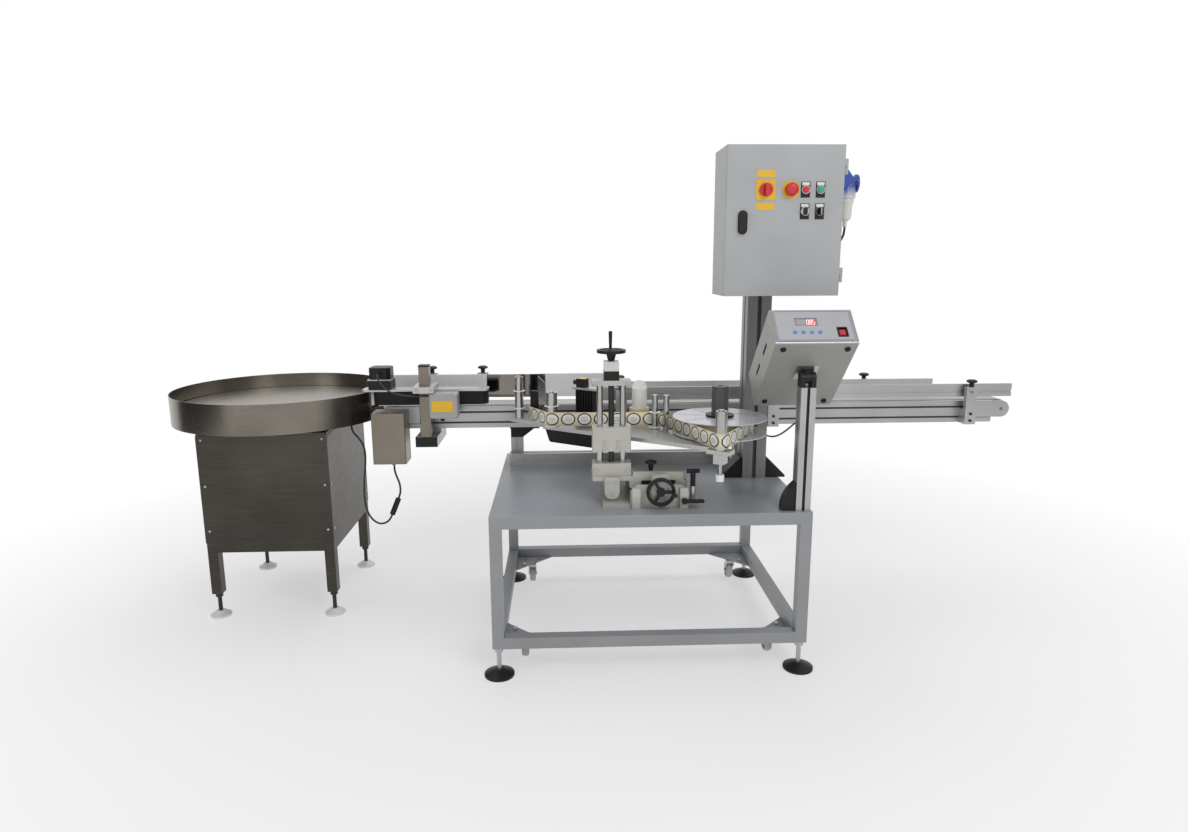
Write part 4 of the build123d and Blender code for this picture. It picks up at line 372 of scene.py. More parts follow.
# Rolled stainless: smoother along its band, so that it shows long bright streaks
STEEL_RIM = Finish("rolled_stainless_rim", "#66615a", "#857f76", metallic=0.95, roughness=0.24, spread=0.06,
                   grain=Grain.BRUSHED_X, grain_mm=1.6, bump_mm=0.01, cloud_mm=240)
# Ground stainless: short upright scratches and a warm grey shine
STEEL_BRIGHT = Finish("ground_stainless_sheet", "#716a5f", "#877f74", metallic=0.9, roughness=0.33, spread=0.08,
                      grain=Grain.BRUSHED_Z, grain_mm=1.8, bump_mm=0.015)
# Turned stainless: fine rings that fan the light out from the middle
TRAY_STEEL = TurnedFinish("turned_stainless_disc", "#8b877f", "#a9a59d", metallic=0.9, roughness=0.32, spread=0.1,
                          grain_mm=3.0, bump_mm=0.02, centre=(-1467.0, 796.0))
# Extruded aluminium, clear anodised: pale, satin, with drawing lines along the section
EXTRUDED = Finish("anodised_extrusion_along_line", "#a2a3a3", "#b3b4b4", metallic=0.75, roughness=0.36,
                  grain=Grain.BRUSHED_X, grain_mm=1.6, bump_mm=0.015)
EXTRUDED_UP = Finish("anodised_extrusion_upright", "#a2a3a2", "#b5b6b5", metallic=0.75, roughness=0.36,
                     grain=Grain.BRUSHED_Z, grain_mm=1.6, bump_mm=0.015)
# Darker anodised column: the same drawing lines with less shine
COLUMN_ALLOY = Finish("anodised_column_dark", "#7b7b7c", "#888889", metallic=0.55, roughness=0.42,
                      grain=Grain.BRUSHED_Z, grain_mm=2.0, bump_mm=0.02)
# Milled aluminium: cutter lines across the plate and a bright satin face
MILLED = Finish("milled_aluminium_plate", "#b0b0af", "#bfbfbe", metallic=0.7, roughness=0.32,
                grain=Grain.BRUSHED_Y, grain_mm=2.0, bump_mm=0.015)
# Slot floors of the extrusions in painted shade; the same dark grey draws the turntable panels' seams
SLOT_SHADE_AND_SEAM = Finish("slot_floor_shade_and_seam_line", "#3a3a3b", "#484849", metallic=0.4, roughness=0.55, grain_mm=3.0)
# Hard chrome: mirror bright with a faint ripple
CHROME = Finish("hard_chrome_rod", "#a3a3a2", "#b5b5b4", metallic=1.0, roughness=0.16, spread=0.04, grain_mm=6.0,
                bump_mm=0.004)
# Zinc plated fasteners: bright grey with a slight milky spread
ZINC = Finish("zinc_plated_steel", "#a9aaab", "#bcbdbe", metallic=0.9, roughness=0.3, spread=0.1, grain_mm=1.5)
# Black oxide: dark grey steel with a dull oily shine
BLACK_OXIDE = Finish("black_oxide_steel", "#2e2e30", "#3a3a3c", metallic=0.6, roughness=0.4, grain_mm=1.5)
# Moulded thermoplastic: fine spark-eroded texture, soft broad highlight
BLACK_PLASTIC = Finish("moulded_polyamide_black", "#18181a", "#202022", roughness=0.42, grain_mm=0.9, bump_mm=0.03,
                       specular=0.25)
# Cast housing under black enamel: a lumpy skin that breaks its highlights
MOTOR_BLACK = Finish("cast_housing_black_enamel", "#151517", "#1d1d1f", roughness=0.38, grain_mm=1.8, bump_mm=0.06,
                     specular=0.25)
# Moulded acetal: milky white with a waxy sheen
WHITE_PLASTIC = Finish("moulded_acetal_white", "#dededa", "#e8e8e4", roughness=0.36, grain_mm=1.2, bump_mm=0.01)
# Moulded ABS in three greys: even, with a fine matt texture
GREY_PLASTIC = Finish("moulded_abs_pale_grey", "#b2b2ad", "#bdbdb8", roughness=0.45, grain_mm=1.0, bump_mm=0.02)
BOX_GREY = Finish("moulded_abs_mid_grey", "#9b9b98", "#a5a5a2", roughness=0.45, grain_mm=1.0, bump_mm=0.02)
PLUG_GREY = Finish("moulded_plug_grey_white", "#c9c8c2", "#d4d3ce", roughness=0.46, grain_mm=1.0, bump_mm=0.02)
# Pressed acrylic: lilac grey and smooth, with a clear gloss on top
REEL_PLASTIC = Finish("pressed_acrylic_lilac_grey", "#bcbcc4", "#c9c9d0", roughness=0.3, grain_mm=5.0, bump_mm=0.01,
                      coat=0.3)
# Extruded PVC tube: dark and satin
CORE_GREY = Finish("extruded_pvc_dark_grey", "#43464a", "#4d5054", roughness=0.4, grain_mm=1.4, bump_mm=0.01)
# Moulded polyamide in blue: even, with a soft highlight
BLUE_PLASTIC = Finish("moulded_polyamide_blue", "#1d3f9d", "#2449ab", roughness=0.36, grain_mm=1.0, bump_mm=0.02)
# Silicone keys: matt and soft
KEY_BLUE = Finish("silicone_key_blue", "#3f7fc8", "#4a8ad0", roughness=0.5, grain_mm=0.8, bump_mm=0.01)
# Moulded buttons in red and green: saturated and slightly glossy
RED_PLASTIC = Finish("moulded_polyamide_red", "#c0202a", "#cb2c33", roughness=0.34, grain_mm=1.0, bump_mm=0.015)
GREEN_PLASTIC = Finish("moulded_polyamide_green", "#2f9a7b", "#3aa586", roughness=0.34, grain_mm=1.0, bump_mm=0.015)
# Enamelled plate: strong yellow with a smooth satin face
YELLOW_PLATE = Finish("enamelled_plate_yellow", "#dfae17", "#e6b823", roughness=0.36, grain_mm=1.2, bump_mm=0.01)
# Moulded castor tread: grey and matt
CASTOR_GREY = Finish("moulded_castor_tread_grey", "#a4a4a1", "#b0b0ad", roughness=0.5, grain_mm=1.2, bump_mm=0.02)
# Clear anodised guide rail: matt, and tinted paler than the same extrusion elsewhere as painted light, so that it
# stays pale in the shade behind the head
RAIL_PAINTED_LIGHT = Finish("anodised_guide_rail_satin_painted_light", "#c6c7c8", "#d3d4d5", metallic=0.3, roughness=0.42,
                    grain=Grain.BRUSHED_X, grain_mm=1.6, bump_mm=0.015)
# Painted sheet on the rear rail: pale and satin
GUIDE_PAINT = Finish("enamelled_guide_sheet_pale", "#d8d7da", "#e0dfe2", roughness=0.3, grain_mm=2.0, bump_mm=0.01)
# Polished stretch of the guide sheet: mirrors the head in front of it
POLISHED = Finish("polished_stainless_sheet", "#77706a", "#867f78", metallic=1.0, roughness=0.09, spread=0.03,
                  grain=Grain.BRUSHED_Z, grain_mm=3.0, bump_mm=0.004)
# Rubber: dull, slightly dusty
BLACK_RUBBER = Finish("moulded_rubber_black", "#151516", "#1e1e1e", roughness=0.72, grain_mm=1.2, bump_mm=0.05,
                      specular=0.25)
# Woven belt: a coarse pale cloth face without shine
BELT_GREY = Finish("woven_belt_pale_grey", "#c3c3bf", "#d0d0cc", roughness=0.6, grain_mm=2.5, bump_mm=0.08)
# PVC sheath: black with a long narrow highlight
LEAD_SHEATH = Finish("pvc_lead_black", "#19191a", "#232324", roughness=0.38, grain_mm=1.5, bump_mm=0.02)
# Printed film on the control panel: satin silver
PANEL_FILM = Finish("satin_panel_film_silver", "#a5a7aa", "#afb1b4", metallic=0.25, roughness=0.4, grain_mm=0.8)
# Folded sheet under grey lacquer: slightly pebbled and dull
CASE_STEEL = Finish("folded_case_sheet_grey", "#8e8d89", "#999894", metallic=0.25, roughness=0.42, grain_mm=1.4,
                    bump_mm=0.03)
# Smoked window: smooth and glossy over a grey ground
WINDOW_GREY = Finish("smoked_window_grey", "#8b898f", "#959399", roughness=0.2, spread=0.03, grain_mm=8.0)
# Lit segments: pale pink light
DIGIT_GLOW = Finish("lit_segments_pink", "#ffdcd8", "#ffe6e2", roughness=0.4, grain_mm=4.0, glow=1.4)
# Unlit segments: pale bars without light
DIGIT_DULL = Finish("unlit_segments_pale", "#cfced2", "#d6d5d9", roughness=0.4, grain_mm=4.0)
# Red light spread in the window round the lit figures
DIGIT_HALO = Finish("lit_window_red", "#d8304a", "#e0405a", roughness=0.3, grain_mm=8.0, glow=0.5)
# Wound label paper: cream edges in fine rings
LINER_PAPER = TurnedFinish("wound_label_paper", "#d9cda4", "#e8ddb8", roughness=0.55, grain_mm=1.2, bump_mm=0.05,
                           centre=(269.5, 252.9))
# Liner wound on the rewind spool: plain paper rings
REWOUND = TurnedFinish("rewound_liner_paper", "#d3c096", "#e0cfa8", roughness=0.6, grain_mm=1.2, bump_mm=0.05,
                       centre=(0.3, 470.1))
# Waxed carrier: cream paper with a faint shine under its labels
LABEL_PAPER = LabelFinish("waxed_carrier_with_labels", "#d8ceac", "#e1d8b9", roughness=0.42, grain_mm=1.5)


class Faces:
    """Face middles and normals of a mesh as whole arrays, in the cart's, head's and panel's frames."""

    def __init__(self, mesh: bpy.types.Mesh) -> None:
        """Read the arrays.

        Args:
            mesh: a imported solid's mesh.
        """
        middle = np.empty(len(mesh.polygons) * 3)
        normal = np.empty(len(mesh.polygons) * 3)
        mesh.polygons.foreach_get("center", middle)
        mesh.polygons.foreach_get("normal", normal)
        points = middle.reshape(-1, 3) / MM - CART_TO_ROW
        self.x, self.y, self.z = points.T
        self.ny = normal.reshape(-1, 3)[:, 1]
        self.ax, self.ay, _ = np.abs(normal.reshape(-1, 3)).T
        du, dv = (points[:, :2] - HEAD_ORIGIN).T
        self.u = du * np.cos(HEAD_TURN) + dv * np.sin(HEAD_TURN)
        self.v = -du * np.sin(HEAD_TURN) + dv * np.cos(HEAD_TURN)
        self.px, self.pv, self.pn = ((points - PANEL_MIDDLE) @ Facing.PANEL.axes.T).T


Test = Callable[[Faces], np.ndarray]


def above(low: float) -> Span:
    """Span from a value upwards."""
    return low, np.inf


def below(high: float) -> Span:
    """Span up to a value."""
    return -np.inf, high


def within(middle: float, half: float) -> Span:
    """Span either side of a middle."""
    return middle - half, middle + half


def inside(values: np.ndarray, span: Span) -> np.ndarray:
    """Which values lie inside a span."""
    return (values > span[0]) & (values < span[1])


def pair(axis: str, middle: float, reach: float, half: float) -> Test:
    """Test for two bands at equal distances either side of a middle."""
    return lambda faces: np.abs(np.abs(getattr(faces, axis) - middle) - reach) < half


def beyond(axis: str, middle: float, reach: float) -> Test:
    """Test for faces further than a reach from a middle."""
    return lambda faces: np.abs(getattr(faces, axis) - middle) > reach


def about(plane: str, first: float, second: float, radii: Span) -> Test:
    """Test for faces at a span of radii from an axis square to a plane that two letters name."""
    return lambda faces: inside(np.hypot(getattr(faces, plane[0]) - first, getattr(faces, plane[1]) - second), radii)


@dataclass(frozen=True)
class Zone:
    """Faces that take another finish: those whose middles lie inside every span and pass the test.

    Spans are in millimetres along the cart's x, y and z, the head's u and the panel's px, pv and pn. The spans
    of ax, ay and ny hold parts of the normal, the first two without their signs.
    """

    finish: Finish
    x: Span = ANY
    y: Span = ANY
    z: Span = ANY
    u: Span = ANY
    px: Span = ANY
    pv: Span = ANY
    pn: Span = ANY
    ax: Span = ANY
    ay: Span = ANY
    ny: Span = ANY
    test: Test | None = None

    def taken(self, faces: Faces) -> np.ndarray:
        """Find the zone's faces.

        Args:
            faces: the solid's faces.

        Returns:
            True for each face that the zone takes.
        """
        found = np.ones(len(faces.x), dtype=bool) if self.test is None else self.test(faces)
        for axis in ("x", "y", "z", "u", "px", "pv", "pn", "ax", "ay", "ny"):
            found = found & inside(getattr(faces, axis), getattr(self, axis))
        return found


class Shop:
    """Keeps one material for each finish and the loaded frame."""

    def __init__(self, frame: dict) -> None:
        """Start with no materials.
        """
        self.frame = frame
        self.made: dict[str, bpy.types.Material] = {}

    def material(self, finish: Finish) -> bpy.types.Material:
        """Give a finish's material, made once.

        Args:
            finish: the finish.

        Returns:
            Its material.
        """
        if finish.name not in self.made:
            self.made[finish.name] = finish.make()
        return self.made[finish.name]

    def paint(self, node: str, base: Finish, *zones: Zone) -> None:
        """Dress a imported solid, with other finishes on chosen faces.

        Args:
            node: the solid's name.
            base: finish of every face that no zone takes.
            zones: the zones; a later one wins.
        """
        mesh = self.frame["nodes"][node].data
        mesh.materials.clear()
        mesh.materials.append(self.material(base))
        faces = Faces(mesh)
        index = np.zeros(len(mesh.polygons), dtype=np.int32)
        for number, zone in enumerate(zones, start=1):
            mesh.materials.append(self.material(zone.finish))
            index[zone.taken(faces)] = number
        mesh.polygons.foreach_set("material_index", index)
        LOG.info("dressed %s in %d finishes", node, len(zones) + 1)

    def paint_all(self, finish: Finish, *nodes: str) -> None:
        """Dress several solids in one finish."""
        for node in nodes:
            self.paint(node, finish)

    def piece(self, name: str, shape: Shape, finish: Finish, body: str,
              sharp: float = 35.0) -> bpy.types.Object:
        """Make a new piece from a shape in the cart's frame and set it on a body.

        Args:
            name: the piece's name.
            shape: points in millimetres and faces.
            finish: its finish.
            body: the body that it rides on.
            sharp: angle in degrees past which an edge stays sharp.

        Returns:
            The new object.
        """
        points, faces = shape
        mesh = bpy.data.meshes.new(name)
        mesh.from_pydata(to_row(points).tolist(), [], faces)
        mesh.shade_smooth()
        mesh.set_sharp_from_angle(angle=np.radians(sharp))
        mesh.materials.append(self.material(finish))
        obj = put(bpy.data.objects.new(name, mesh))
        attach(obj, body)
        LOG.info("made %s with %d faces", name, len(faces))
        return obj


def head_point(u: np.ndarray | float, v: np.ndarray | float, z: np.ndarray | float) -> np.ndarray:
    """Turn head coordinates into the cart's frame: the head's plane is turned about its corner."""
    c, s = np.cos(HEAD_TURN), np.sin(HEAD_TURN)
    return np.stack(np.broadcast_arrays(HEAD_ORIGIN[0] + c * u - s * v, HEAD_ORIGIN[1] + s * u + c * v, z), axis=-1)


def stacked(rings: np.ndarray) -> Shape:
    """Close a stack of rings into a solid skin.

    Each ring is one closed row of points; neighbours are joined by quads and the first and last ring are
    closed by a fan to their mean point.

    Args:
        rings: points as rings x points x 3, turning left seen from the last ring.

    Returns:
        The shape.
    """
    count, around = rings.shape[:2]
    points = np.concatenate((rings.reshape(-1, 3), rings[:1].mean(axis=1), rings[-1:].mean(axis=1)))
    ring, step = np.meshgrid(np.arange(count - 1), np.arange(around), indexing="ij")
    near, far = ring * around + step, ring * around + (step + 1) % around
    sides = np.stack((near, far, far + around, near + around), axis=-1).reshape(-1, 4)
    step = np.arange(around)
    after = (step + 1) % around
    top = (count - 1) * around
    low = np.stack((np.full(around, count * around), after, step), axis=-1)
    high = np.stack((np.full(around, count * around + 1), top + step, top + after), axis=-1)
    return points, sides.tolist() + low.tolist() + high.tolist()


def turned(outline: Sequence[tuple[float, float]] | np.ndarray, segments: int) -> Shape:
    """Turn an outline about the local z axis: r(t) on a circle, h(t) along it.

    Args:
        outline: radius and height pairs.
        segments: points on the circle.

    Returns:
        The shape.
    """
    pairs = np.array(outline, dtype=float)
    angle = np.linspace(0.0, 2.0 * np.pi, segments, endpoint=False)
    rings = np.stack((pairs[:, :1] * np.cos(angle), pairs[:, :1] * np.sin(angle),
                      np.repeat(pairs[:, 1:], segments, axis=1)), axis=-1)
    return stacked(rings)


def round_outline(width: float, height: float, radius: float) -> np.ndarray:
    """Outline of a rounded rectangle: a quarter circle about each corner's centre.

    Args:
        width: size along local x.
        height: size along local y.
        radius: corner radius.

    Returns:
        Points x 2, turning left.
    """
    sweep = np.linspace(0.0, np.pi / 2, CORNER_POINTS)
    angle = (np.arange(4)[:, None] * np.pi / 2 + sweep).ravel()
    sign = np.repeat(np.array(((1, 1), (-1, 1), (-1, -1), (1, -1))), CORNER_POINTS, axis=0)
    centre = sign * (np.array((width, height)) / 2 - radius)
    return centre + radius * np.stack((np.cos(angle), np.sin(angle)), axis=-1)


def lifted(*levels: tuple[np.ndarray, float]) -> np.ndarray:
    """Set outlines at their heights, as rings x points x 3."""
    return np.stack([np.column_stack((line, np.full(len(line), height))) for line, height in levels])


@dataclass(frozen=True)
class Pad:
    """Flat pad with a rounded outline and a chamfered upper rim, by its sizes in millimetres."""

    width: float
    height: float
    thick: float
    radius: float
    edge: float

    def shape(self) -> Shape:
        """Let the outline rise straight, then draw in by the edge's width while it rises by the same.

        Returns:
            The shape.
        """
        outer = round_outline(self.width, self.height, self.radius)
        inner = round_outline(self.width - 2 * self.edge, self.height - 2 * self.edge,
                              max(self.radius - self.edge, LEAST_RADIUS))
        return stacked(lifted((outer, 0.0), (outer, self.thick - self.edge), (inner, self.thick)))


@dataclass(frozen=True)
class Band:
    """Raised frame line on a rounded rectangle, by its outer sizes, line width and height in millimetres."""

    width: float
    height: float
    radius: float
    line: float
    thick: float

    def shape(self) -> Shape:
        """Carry a rectangular profile round the outline.

        Returns:
            The shape.
        """
        outer = round_outline(self.width, self.height, self.radius)
        inner = round_outline(self.width - 2 * self.line, self.height - 2 * self.line,
                              max(self.radius - self.line, LEAST_RADIUS))
        rows = lifted((outer, 0.0), (outer, self.thick), (inner, self.thick), (inner, 0.0))
        count, around = rows.shape[:2]
        row, step = np.meshgrid(np.arange(count), np.arange(around), indexing="ij")
        after, up = (step + 1) % around, (row + 1) % count
        faces = np.stack((row * around + step, row * around + after, up * around + after, up * around + step), -1)
        return rows.reshape(-1, 3), faces.reshape(-1, 4).tolist()


def spread(shape: Shape, places: Sequence[Sequence[float]] | np.ndarray, axes: Facing | np.ndarray) -> Shape:
    """Copy a local shape to several places: point times axes plus place, as one array.

    Args:
        shape: the local shape.
        places: where each copy's origin goes.
        axes: one facing or set of axes, or one set for each place.

    Returns:
        All copies as one shape.
    """
    points, faces = shape
    origins = np.atleast_2d(np.array(places, dtype=float))
    turns = np.broadcast_to(axes.axes if isinstance(axes, Facing) else axes, (len(origins), 3, 3))
    moved = np.einsum("ni,kij->knj", points, turns) + origins[:, None, :]
    copies = [[corner + number * len(points) for corner in face] for number in range(len(origins)) for face in faces]
    return moved.reshape(-1, 3), copies


def joined(*shapes: Shape) -> Shape:
    """Put several shapes into one.

    Args:
        shapes: the shapes.

    Returns:
        One shape with all points and faces.
    """
    starts = np.cumsum([0] + [len(points) for points, _ in shapes])
    faces = [[corner + int(start) for corner in face] for (_, rows), start in zip(shapes, starts) for face in rows]
    return np.concatenate([points for points, _ in shapes]), faces


def screws(kind: Screw, radius: float, places: Sequence[Sequence[float]] | np.ndarray, facing: Facing) -> Shape:
    """Screw heads of one size.

    Args:
        kind: head outline.
        radius: head radius.
        places: seats of the heads.
        facing: the way that they look.

    Returns:
        All heads as one shape.
    """
    sides = HEX_SIDES if kind is Screw.HEX else ROUND_SIDES
    return spread(turned(np.array(kind.value) * radius, sides), places, facing)


@dataclass(frozen=True)
class Lamp:
    """A soft round lamp: its place and aim in metres, its width and its power in watts."""

    name: str
    place: Spot
    aim: Spot
    size: float
    power: float

    def hang(self) -> None:
        """Hang the lamp; its rear axis points from the aim to its place."""
        data = bpy.data.lights.new(self.name, "AREA")
        data.shape, data.size, data.energy = "DISK", self.size, self.power
        away = np.array(self.place) - np.array(self.aim)
        away = away / np.linalg.norm(away)
        side = np.cross((0.0, 0.0, 1.0), away)
        side = side / np.linalg.norm(side)
        stand(put(bpy.data.objects.new(self.name, data)), side, np.cross(away, side), away, self.place)


@dataclass
class Studio:
    """Camera, floor and light."""

    eye: Spot = (-283.89, -2478.20, 1409.11)
    yaw: float = 0.037
    pitch: float = 0.1956
    roll: float = -0.0044
    lens: float = 23.613
    sensor: float = 36.0
    sight: float = 60.0
    floor_reach: float = 14.0
    floor_level: float = -0.0005
    floor_fade: Span = (1.2, 3.2)
    floor_least: float = 0.45
    flag_reach: float = 4.2
    flag_span: tuple[float, float, float, float] = (-3.4, 0.8, 0.1, 2.8)
    world_level: float = 0.42
    lamps: tuple[Lamp, ...] = (Lamp("key", (2.0, -3.6, 3.6), (0.0, 0.0, 0.8), 2.4, 60.0),
                               Lamp("fill", (-3.4, -2.8, 2.2), (-0.2, 0.0, 0.8), 2.0, 20.0),
                               Lamp("crown", (0.2, 0.8, 4.2), (0.0, 0.0, 0.6), 3.0, 42.0))

    def set_camera(self) -> None:
        """Place the camera at the fitted eye point; its axes follow from yaw, pitch and roll."""
        ahead = np.array((np.sin(self.yaw) * np.cos(self.pitch), np.cos(self.yaw) * np.cos(self.pitch),
                          -np.sin(self.pitch)))
        right = np.array((np.cos(self.yaw), -np.sin(self.yaw), 0.0))
        up = np.cross(right, ahead)
        side = np.cos(self.roll) * right + np.sin(self.roll) * up
        top = -np.sin(self.roll) * right + np.cos(self.roll) * up
        data = bpy.data.cameras.new("camera")
        data.lens, data.sensor_width, data.sensor_fit = self.lens, self.sensor, "HORIZONTAL"
        data.clip_end = self.sight
        camera = put(bpy.data.objects.new("camera", data))
        stand(camera, side, top, -ahead, to_row(self.eye))
        bpy.context.scene.camera = camera

    @staticmethod
    def card(name: str, corners: Sequence[Spot], material: bpy.types.Material) -> bpy.types.Object:
        """Make a flat card in the scene.

        Args:
            name: the card's name.
            corners: its four corners in metres.
            material: its material.

        Returns:
            The card.
        """
        mesh = bpy.data.meshes.new(name)
        mesh.from_pydata(corners, [], [(0, 1, 2, 3)])
        mesh.materials.append(material)
        card = put(bpy.data.objects.new(name, mesh))
        return card

    def lay_floor(self) -> None:
        """Lay a pale floor that fades into the white backdrop with distance from the machine."""
        material, tree, shader = bare_material("studio_paper_white")
        shader.inputs["Base Color"].default_value = linear("#f4f4f4")
        shader.inputs["Roughness"].default_value = 0.9
        place = add_node(tree, "ShaderNodeTexCoord")
        reach = add_node(tree, "ShaderNodeVectorMath", {"operation": "LENGTH"}, {0: place.outputs["Object"]})
        near, far = self.floor_fade
        fade = add_node(tree, "ShaderNodeMapRange", {"From Min": near, "From Max": far, "To Min": self.floor_least},
                        {"Value": reach.outputs["Value"]})
        light = add_node(tree, "ShaderNodeEmission", {"Color": (1, 1, 1, 1), "Strength": 1.0})
        mixed = add_node(tree, "ShaderNodeMixShader", None,
                         {0: fade.outputs[0], 1: shader.outputs[0], 2: light.outputs[0]})
        out = next(n for n in tree.nodes if n.type == "OUTPUT_MATERIAL")
        tree.links.new(mixed.outputs[0], out.inputs["Surface"])
        edge, z = self.floor_reach, self.floor_level
        self.card("studio_floor", [(-edge, -edge, z), (edge, -edge, z), (edge, edge, z), (-edge, edge, z)], material)

    def hang_flags(self) -> None:
        """Hang dark cards at both sides that only mirrors see, so that round metal gets dark edges."""
        material, _, shader = bare_material("studio_flag_black")
        shader.inputs["Base Color"].default_value = linear("#1c1c1c")
        shader.inputs["Roughness"].default_value = 1.0
        near, far, low, high = self.flag_span
        for name, x in (("flag_left", -self.flag_reach), ("flag_right", self.flag_reach)):
            card = self.card(name, [(x, near, low), (x, far, low), (x, far, high), (x, near, high)], material)
            card.visible_camera = card.visible_diffuse = card.visible_transmission = card.visible_shadow = False

    def light_up(self) -> None:
        """Set soft lamps and a white world that lights at a lower level than it shows."""
        world = bpy.data.worlds.new("studio")
        world.use_nodes = True
        tree = world.node_tree
        back = next(n for n in tree.nodes if n.type == "BACKGROUND")
        rays = add_node(tree, "ShaderNodeLightPath")
        clear = add_node(tree, "ShaderNodeMath", {"operation": "MAXIMUM"},
                         {0: rays.outputs["Is Camera Ray"], 1: rays.outputs["Is Transmission Ray"]})
        seen = add_node(tree, "ShaderNodeMath", {"operation": "MAXIMUM"},
                        {0: clear.outputs[0], 1: rays.outputs["Is Glossy Ray"]})
        level = add_node(tree, "ShaderNodeMapRange", {"To Min": self.world_level, "To Max": 1.0},
                         {"Value": seen.outputs[0]})
        back.inputs["Color"].default_value = (1.0, 1.0, 1.0, 1.0)
        tree.links.new(level.outputs[0], back.inputs["Strength"])
        bpy.context.scene.world = world
        for lamp in self.lamps:
            lamp.hang()
        bpy.context.scene.view_settings.view_transform = "Standard"


@dataclass
class Leads:
    """The free leads: their routes in the cart's frame, as the solids have them."""

    connector_way: Spot = (0.3918, -0.0135, 0.9199)
    connector_start: Spot = (-996.0, 596.0, 400.0)
    connector_length: float = 74.0
    straight: float = 20.0
    lead_diameter: float = 8.0
    thin_diameter: float = 6.0

    def lay(self, shop: Shop, name: str, route: Sequence, diameter: float, node: str) -> bpy.types.Object:
        """Lay one lead as a smooth spline with the route's points as control points.

        Args:
            shop: the finishes and frame.
            name: the piece's name.
            route: control points in millimetres.
            diameter: of the sheath.
            node: the solid that it stands for.

        Returns:
            The curve object.
        """
        points = to_row(route)
        curve = bpy.data.curves.new(name, "CURVE")
        curve.dimensions = "3D"
        curve.bevel_depth = 1.0
        curve.bevel_resolution = 4
        curve.resolution_u = 12
        curve.use_fill_caps = True
        line = curve.splines.new("NURBS")
        line.points.add(len(points) - 1)
        line.points.foreach_set("co", np.hstack((points, np.ones((len(points), 1)))).ravel())
        line.points.foreach_set("radius", np.full(len(points), diameter * MM / 2))
        line.order_u = 3
        line.use_endpoint_u = True
        curve.materials.append(shop.material(LEAD_SHEATH))
        obj = put(bpy.data.objects.new(name, curve))
        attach(obj, "machine")
        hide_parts(node)
        length = float(np.linalg.norm(np.diff(self.sampled(obj), axis=0), axis=1).sum())
        LOG.info("laid %s, %.3f m", name, length)
        return obj

    @staticmethod
    def sampled(obj: bpy.types.Object) -> np.ndarray:
        """Points along a curve object's spline.

        Args:
            obj: the curve object.

        Returns:
            Points x 3 in metres, read from the curve without its bevel.
        """
        data = obj.data
        depth, data.bevel_depth = data.bevel_depth, 0.0
        mesh = bpy.data.meshes.new_from_object(obj)
        data.bevel_depth = depth
        points = np.empty(len(mesh.vertices) * 3)
        mesh.vertices.foreach_get("co", points)
        bpy.data.meshes.remove(mesh)
        return points.reshape(-1, 3)

    def build(self, shop: Shop) -> None:
        """Lay the leads.

        Args:
            shop: the finishes and frame.
        """
        way, start = np.array(self.connector_way), np.array(self.connector_start)
        end = start + self.connector_length * way
        lower = [(-1150, 640, 768), (-1150, 640, 750), (-1142, 638, 732), (-1124, 634, 714), (-1106, 630, 690),
                 (-1097, 626, 652), (-1099, 620, 600), (-1106, 614, 540), (-1108, 609, 480), (-1103, 605, 425),
                 (-1085, 602, 382), (-1052, 599, 358), (-1022, 597, 364), start - self.straight * way, start]
        upper = [end, end + self.straight * way, (-957, 594.4, 510), (-960, 594.2, 534), (-970, 594, 561),
                 (-977, 594, 586), (-977, 594, 610)]
        supply = [(713, 330, 1526), (713, 330, 1504), (709, 346, 1482), (701, 374, 1458), (689, 414, 1438),
                  (669, 456, 1424), (629, 484, 1414), (588, 490, 1408), (540, 475, 1406), (504, 475, 1406)]
        control = [(514, 79, 870), (514, 112, 870), (510, 150, 852), (504, 196, 824), (496, 246, 796),
                   (488, 298, 774), (480, 346, 763), (470, 392, 760), (470, 416, 760)]
        motor = [(-1017, 580, 980), (-1017, 560, 980), (-1011, 548, 962), (-997, 542, 940), (-975, 540, 920),
                 (-943, 540, 905), (-905, 542, 898), (-864, 544, 896), (-840, 546, 896), (-816, 546, 896)]
        self.lay(shop, "tray_lead_lower", lower, self.lead_diameter, "tray_lead")
        self.lay(shop, "tray_lead_upper", upper, self.lead_diameter, "tray_lead")
        self.lay(shop, "motor_lead_run", motor, self.thin_diameter, "tray_lead")
        self.lay(shop, "supply_lead_run", supply, self.lead_diameter, "supply_lead")
        self.lay(shop, "control_lead_run", control, self.thin_diameter, "control_lead")
        shop.paint("lead_connector", BLACK_PLASTIC)


